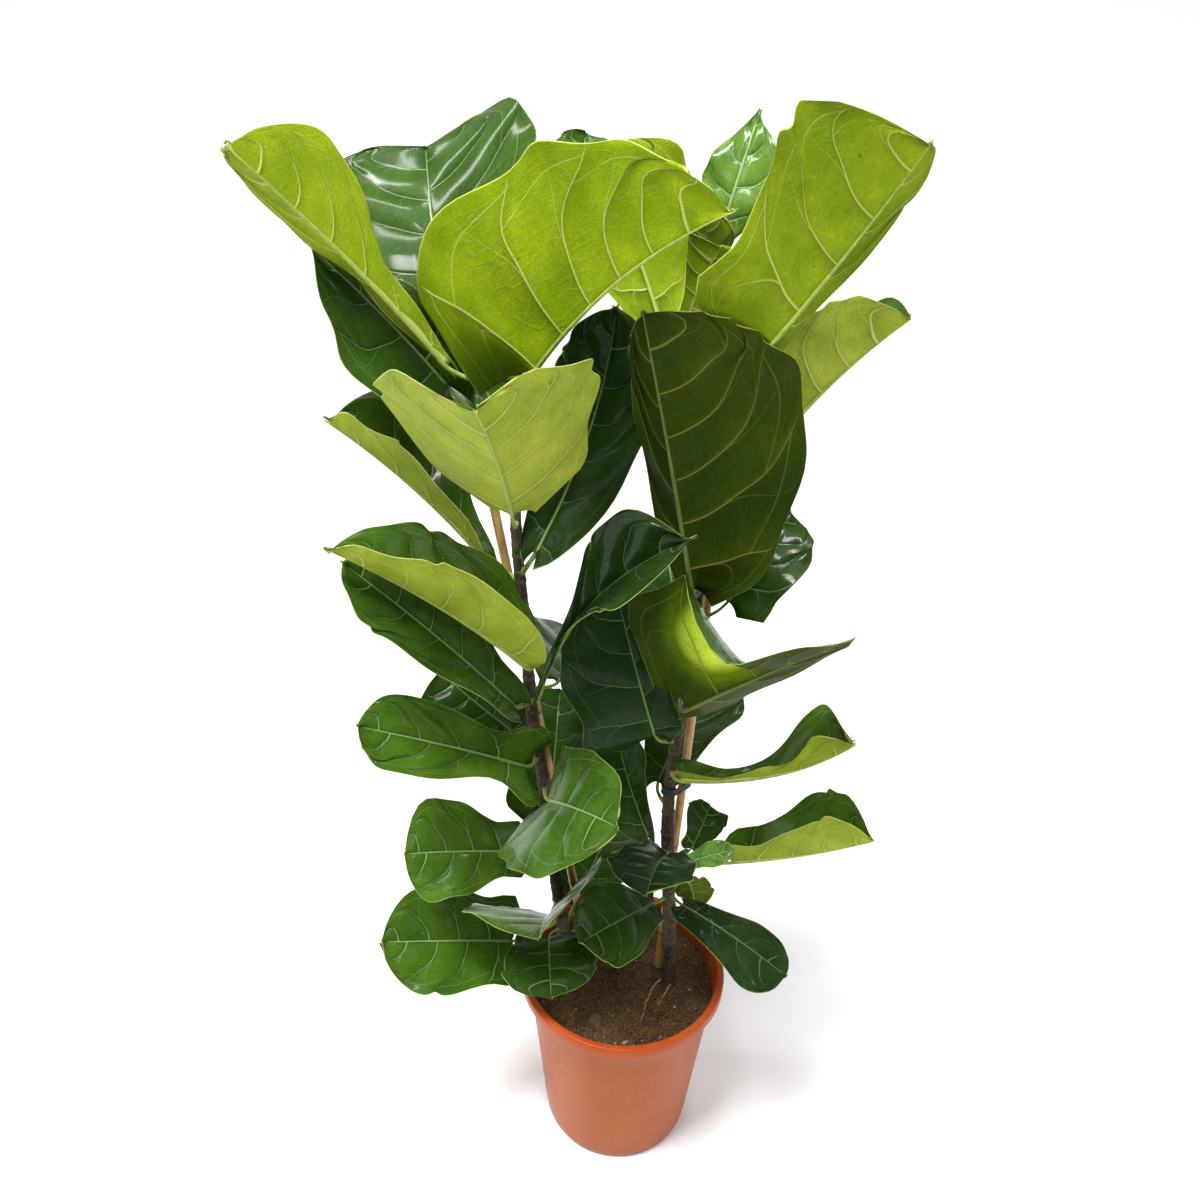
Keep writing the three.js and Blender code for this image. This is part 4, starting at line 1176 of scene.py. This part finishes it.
def make_leaf(leaf):
    """The blade with its stalk, and the numbers that its materials read at each point."""
    rows = leaf_rows(leaf)
    halves = [blade_half(leaf, rows, half) for half in (0, 1)]

    def whole(kind):
        return np.concatenate([halves[0][kind][:, :0:-1], halves[1][kind]], axis=1)

    middle, v, half_width, vein = map(whole, ("points", "v", "half_width", "vein"))
    normal = unit(np.cross(np.gradient(middle, axis=1), np.gradient(middle, axis=0)))
    thickness = BLADE_THICKNESS + (MARGIN_THICKNESS - BLADE_THICKNESS) * smoothstep(0.7, 1, v)
    upper = middle + normal * (thickness / 2 - VEIN_SINK * vein)[..., None]
    lower = middle - normal * (thickness / 2 + VEIN_RISE * vein)[..., None]
    points = np.clip(np.concatenate([upper.reshape(-1, 3), lower.reshape(-1, 3)]), *ROOM)
    top_faces, under_faces = sheet_faces(*v.shape)
    rib_points, rib_faces = stalk_points(leaf)
    rib_faces = [tuple(corner + len(points) for corner in face) for face in rib_faces]
    points = np.concatenate([points, rib_points])
    faces = top_faces + under_faces + rib_faces
    made = make_piece(leaf["name"] + "_blade", points, faces,
                      [LEAF_TOPS[leaf["wax"]], LEAF_UNDERSIDE, LEAF_STALK], leaf["name"])
    sides = np.repeat([0, 1, 2], [len(top_faces), len(under_faces), len(rib_faces)])
    made.data.polygons.foreach_set("material_index", sides.astype(np.int32))

    def spread(grid, spare=0.0):
        """A grid's values for both sides of the blade, and a spare one for the rib."""
        return np.concatenate([grid.ravel(), grid.ravel(), np.full(len(rib_points), spare)])

    s = np.linspace(0, 1, len(rows))[:, None] * np.ones_like(v)
    taper = math.sqrt(leaf["length"] / PLAIN_LENGTH) * (1 - s) ** MIDRIB_TAPER
    rib_width = MIDRIB_RADIUS * taper * 0.8 + MIDRIB_LEAST_RADIUS
    set_values(made, "rib", spread(v * half_width / rib_width))
    set_values(made, "margin", spread((1 - v) * half_width, FAR_FROM_MARGIN))
    set_values(made, "pitch", np.full(len(points), halves[0]["pitch"]))
    under_points = len(points) - v.size
    set_values(made, "tone", [leaf["top"]] * v.size + [leaf["under"]] * under_points)
    set_values(made, "lit", light_through(leaf, points))
    lay_flat(made, leaf, halves, spread)


def lay_flat(made, leaf, halves, spread):
    """A flat map of the blade for its veins: along it, their count, and across it, the share of
    the half's width. Each half has its own count on the midrib, so the two lie apart."""
    left, right = (half["count"] for half in halves)
    rows, beside = left.shape[0], left.shape[1] - 1
    past_rib = np.tile(np.arange(2 * beside + 1) > beside, (rows, 1))
    left = np.concatenate([left[:, :0:-1], left[:, :1].repeat(beside + 1, 1)], axis=1)
    right = np.concatenate([right[:, :1].repeat(beside, 1), right], axis=1)
    across = np.concatenate([halves[0]["v"][:, :0:-1], halves[1]["v"]], axis=1)
    corners = np.zeros(len(made.data.loops), np.int32)
    made.data.loops.foreach_get("vertex_index", corners)
    totals = np.zeros(len(made.data.polygons), np.int32)
    made.data.polygons.foreach_get("loop_total", totals)
    face_of = np.repeat(np.arange(len(totals)), totals)
    right_face = np.zeros(len(totals), bool)
    np.logical_or.at(right_face, face_of, spread(past_rib, False)[corners])
    on_right = right_face[face_of]
    along = np.where(on_right, spread(right)[corners], spread(left)[corners])
    along = along + LEAVES_APART * leaf["number"] + HALVES_APART * on_right
    flat = np.stack([along, spread(across)[corners]], 1)
    made.data.uv_layers.new(name="blade").data.foreach_set("uv", flat.ravel())


def light_through(leaf, points):
    """How much light from behind is painted as shining through the blade, in one bright place if
    it has one.
    """
    glow = np.full(len(points), float(leaf["lit"]))
    if "sunny" in leaf:
        centre, radius = leaf["sunny"]
        away = np.linalg.norm(points - np.array(centre, float), axis=1) / radius
        glow = glow + 2.0 * np.exp(-(away ** 4))
    return glow


def vein_group():
    """Masks of a blade's veins, fine net and margin, with their relief, and of the painted
    shade beside the veins and the midrib.
    """
    group, given = new_group("blade_veins", Width=("Float", 0.8))
    flat = add_node(group, "UVMap", {}, uv_map="blade").outputs[0]
    count, v, _ = add_node(group, "SeparateXYZ", {0: flat}).outputs
    off_vein = maths(group, "FRACT", maths(group, "ADD", count, 0.5))
    off_vein = maths(group, "SUBTRACT", off_vein, 0.5)
    pitch = read_value(group, "pitch")
    distance = times(group, maths(group, "ABSOLUTE", off_vein), pitch)
    width = times(group, given["Width"], between(group, v, 0.0, 1.0, 1.0, 0.3))
    side_veins = between(group, maths(group, "DIVIDE", distance, width), 1.0, 0.4)
    side_veins = times(group, side_veins, between(group, v, 0.9, 0.98, 1.0, 0.0))
    from_rib = read_value(group, "rib")
    veins = maths(group, "MAXIMUM", side_veins, between(group, from_rib, 1.15, 0.75))
    arch = maths(group, "MULTIPLY_ADD", maths(group, "FRACT", count), 0.2, 0.7)
    from_arch = maths(group, "ABSOLUTE", maths(group, "SUBTRACT", v, arch))
    arches = between(group, from_arch, 0.009, 0.003)
    veins = maths(group, "MAXIMUM", veins, times(group, arches, 0.45))
    reach = between(group, v, 0.3, 1.1, 0.0, 0.55)
    from_fork = maths(group, "ABSOLUTE", maths(group, "ADD", off_vein, reach))
    forks = between(group, times(group, from_fork, pitch), times(group, width, 0.8), 0.1)
    forks = times(group, forks, between(group, v, 0.93, 0.3, 0.15, 0.75))
    veins = maths(group, "MAXIMUM", veins, forks)
    # Painted shade: darker within a few millimetres of each side vein and of the midrib.
    painted_vein_shade = maths(group, "MAXIMUM", between(group, distance, 0.5, 5.5, 1.0, 0.0),
                  between(group, from_rib, 1.0, 3.2, 1.0, 0.0))

    def threads(x, y, randomness, width):
        cells = add_node(group, "TexVoronoi", {
            "Vector": stretched(group, flat, x, y, 1), "Scale": 1.0, "Randomness": randomness},
            feature="DISTANCE_TO_EDGE")
        return between(group, cells.outputs["Distance"], width, 0.02)

    net = maths(group, "MAXIMUM", threads(1.5, 13, 0.7, 0.07),
                times(group, threads(9, 26, 0.9, 0.14), 0.4))
    margin = between(group, read_value(group, "margin"), 0.75, 0.3)
    relief = maths(group, "MULTIPLY_ADD", veins, 0.7, times(group, net, 0.3))
    return close_group(group, Veins=veins, Flank=painted_vein_shade, Net=net, Margin=margin, Relief=relief)


def ramp(tree, share, stops):
    """Screen colours at shares of the way from 0 to 1."""
    made = add_node(tree, "ValToRGB", {0: share})
    elements = made.color_ramp.elements
    while len(elements) < len(stops):
        elements.new(0.5)
    for element, (at, colour) in zip(elements, stops.items()):
        element.position = at
        element.color = linear(*colour)
    return made.outputs[0]


def clouded(tree, colour, scale, low, high, sharpness=0.3):
    """A colour under soft blotches of shade, and their value. low and high are the least and the
    most that is left of its red, green and blue."""
    shade, value = mottle(tree, scale, sharpness, (*low, 1), (*high, 1))
    return blend(tree, 1.0, colour, shade, "MULTIPLY"), value


def leaf_top_finish(name, wax):
    """The waxy upper side: deep green, lighter veins sunk a little, wide soft reflections."""
    material, tree = new_finish(
        name, Coat_Weight=wax, Coat_Roughness=0.12, Coat_IOR=1.4, Specular_IOR_Level=0.05)
    veins = add_node(tree, "Group", {"Width": 0.75}, node_tree=VEINS).outputs
    tone = read_value(tree, "tone")
    green = ramp(tree, tone, {0: (16, 34, 18), 0.35: (48, 80, 14), 0.6: (76, 113, 20),
                              1: (114, 158, 66)})
    green, cloud = clouded(tree, green, scale=26, low=(0.72, 0.78, 0.7), high=(1.2, 1.15, 1.15))
    green, grain = clouded(tree, green, scale=420, low=(0.88, 0.9, 0.86), high=(1.1, 1.08, 1.1))
    # Painted shade beside the veins and the midrib.
    green = tint(tree, green, veins["Flank"], 0.3, linear(14, 34, 14))
    vein = ramp(tree, tone, {0: (86, 110, 66), 0.35: (144, 176, 108), 1: (200, 222, 164)})
    pale = blend(tree, 0.64, green, vein)
    green = tint(tree, green, veins["Net"], 0.05, pale)
    green = tint(tree, green, veins["Veins"], 0.85, pale)
    green = tint(tree, green, veins["Margin"], 0.6, linear(128, 158, 76))
    flecks = specks(tree, scale=120, amount=0.06, size=0.12)
    green = tint(tree, green, flecks, 0.5, linear(150, 160, 130))
    height = maths(tree, "SUBTRACT", times(tree, grain, 0.1), veins["Relief"])
    lay_on(tree, green, bump=(height, 0.7, 0.0008), rough=(cloud, 0.12, 0.22))
    return material


def leaf_under_finish():
    """The matt underside: olive to yellow-green, with raised pale veins and a fine net."""
    material, tree = new_finish("leaf_underside", Specular_IOR_Level=0.04)
    veins = add_node(tree, "Group", {"Width": 1.0}, node_tree=VEINS).outputs
    tone = read_value(tree, "tone")
    matt = ramp(tree, tone, {0: (46, 62, 8), 0.3: (86, 106, 22), 0.6: (134, 152, 42),
                             1: (186, 198, 84)})
    painted_glow_green = ramp(tree, tone, {0: (92, 118, 6), 0.6: (124, 148, 10), 1: (150, 176, 24)})
    # Painted light shining through: a brighter green with lit, and a bright lime past 1.
    lit = read_value(tree, "lit")
    green = blend(tree, between(tree, lit, 0.0, 1.0), matt, painted_glow_green)
    green = blend(tree, between(tree, lit, 1.0, 2.0), green, linear(228, 255, 84))
    green, _ = clouded(tree, green, scale=30, low=(0.82, 0.88, 0.7), high=(1.12, 1.08, 1.1))
    green, _ = clouded(tree, green, scale=9, low=(0.76, 0.82, 0.7), high=(1.16, 1.1, 1.1))
    green, grain = clouded(tree, green, scale=500, low=(0.86, 0.88, 0.82), high=(1.1, 1.08, 1.08),
                           sharpness=0.4)
    # Painted shade, a little brown, beside the veins and the midrib.
    green = tint(tree, green, veins["Flank"], 0.2, linear(78, 78, 12))
    vein = ramp(tree, tone, {0: (128, 138, 64), 0.3: (178, 190, 102), 1: (224, 230, 146)})
    pale = blend(tree, 0.66, green, vein)
    green = tint(tree, green, veins["Net"], 0.045, pale)
    green = tint(tree, green, veins["Veins"], 0.9, pale)
    green = tint(tree, green, veins["Margin"], 0.7, vein)
    flecks = specks(tree, scale=90, amount=0.04, size=0.14)
    green = tint(tree, green, flecks, 0.55, linear(70, 72, 26))
    height = maths(tree, "MULTIPLY_ADD", grain, 0.15, veins["Relief"])
    lay_on(tree, green, bump=(height, 0.6, 0.0009), rough=(grain, 0.12, 0.5))
    return material


def leaf_stalk_finish():
    """Smooth stalk and midrib, green and faintly mottled, as pale as the underside is."""
    material, tree = new_finish("leaf_stalk", Specular_IOR_Level=0.3)
    green = ramp(tree, read_value(tree, "tone"), {0: (96, 114, 46), 0.5: (138, 156, 66),
                                                  1: (178, 194, 100)})
    green, skin = clouded(tree, green, scale=160, low=(0.8, 0.8, 0.78), high=(1.1, 1.1, 1.1))
    lay_on(tree, green, bump=(skin, 0.3, 0.0005), rough=(skin, 0.15, 0.4))
    return material


VEINS = vein_group()
LEAF_TOPS = {"satin": leaf_top_finish("leaf_top", 0.2),
             "waxy": leaf_top_finish("leaf_top_waxy", 0.5)}
LEAF_UNDERSIDE = leaf_under_finish()
LEAF_STALK = leaf_stalk_finish()
for number, spec in enumerate(LEAVES):
    make_leaf(spec | {"number": number})


# ---------------------------------------------------------------- floor and light
# A plain pale studio floor that curves up behind the plant. Broad soft lights stand on the left,
# on the right and above, five narrow ones draw the streaks on the waxy leaves, and daylight from
# the upper left and an even white surround fill in.

FLOOR_WIDTH = 14.0
FLOOR_FRONT = -5.0
FLOOR_BACK = 4.0
FLOOR_CURVE = 2.5
FLOOR_RISE = 6.0
LIGHTS_AIM = (0, 0, 0.6)
SOFTBOXES = {
    "softbox_left": ((-1.9, -1.5, 2.4), (1.2, 1.6), 18.0),
    "softbox_right": ((2.0, -1.3, 1.9), (0.9, 1.4), 9.0),
    "softbox_above": ((0.2, -0.3, 3.3), (1.8, 1.2), 12.0),
    "strip_left": ((-0.55, -0.45, 2.5), (0.09, 1.0), 13.0),
    "strip_right": ((0.25, -1.1, 2.4), (0.09, 1.0), 13.0),
    "strip_behind": ((-0.3, 1.2, 2.7), (1.7, 0.12), 16.0),
    "strip_above": ((-0.15, -0.1, 3.25), (0.14, 0.7), 7.0),
    "strip_far_left": ((-2.4, 0.5, 2.2), (0.2, 1.1), 12.0),
}
DAYLIGHT_FROM = (-0.35, -0.3, 1.25)
DAYLIGHT_SPREAD = 18
DAYLIGHT_STRENGTH = 2.7
SURROUND_STRENGTH = 0.22


def studio_floor():
    straight = FLOOR_BACK - FLOOR_CURVE
    profile = [(FLOOR_FRONT, 0.0), (straight, 0.0)]
    profile += arc((straight, FLOOR_CURVE), FLOOR_CURVE, -90, 0, 16)[1:]
    profile.append((FLOOR_BACK, FLOOR_RISE))
    points = [(x, y, z) for y, z in profile for x in (-FLOOR_WIDTH / 2, FLOOR_WIDTH / 2)]
    faces = [(2 * k, 2 * k + 1, 2 * k + 3, 2 * k + 2) for k in range(len(profile) - 1)]
    mesh = bpy.data.meshes.new("studio_floor")
    mesh.from_pydata(points, [], faces)
    mesh.shade_smooth()
    material, _ = new_finish("studio_floor", Base_Color=linear(244, 244, 245), Roughness=0.55)
    mesh.materials.append(material)
    add_object("studio_floor", mesh)


def point_at(lamp, direction):
    lamp.rotation_euler = Vector(direction).to_track_quat("-Z", "Y").to_euler()


studio_floor()
for name, (place, size, power) in SOFTBOXES.items():
    lamp = bpy.data.lights.new(name, "AREA")
    lamp.shape = "ELLIPSE"
    lamp.size, lamp.size_y = size
    lamp.energy = power
    holder = add_object(name, lamp)
    holder.location = place
    point_at(holder, Vector(LIGHTS_AIM) - Vector(place))

daylight = bpy.data.lights.new("daylight", "SUN")
daylight.energy = DAYLIGHT_STRENGTH
daylight.angle = math.radians(DAYLIGHT_SPREAD)
point_at(add_object("daylight", daylight), -Vector(DAYLIGHT_FROM))

surround = bpy.data.worlds.new("surround")
surround.use_nodes = True
sky = surround.node_tree.nodes["Background"].inputs
sky["Color"].default_value = (1, 1, 1, 1)
sky["Strength"].default_value = SURROUND_STRENGTH
bpy.context.scene.world = surround


# ---------------------------------------------------------------- update
# The scene is brought up to date.

bpy.context.view_layer.update()
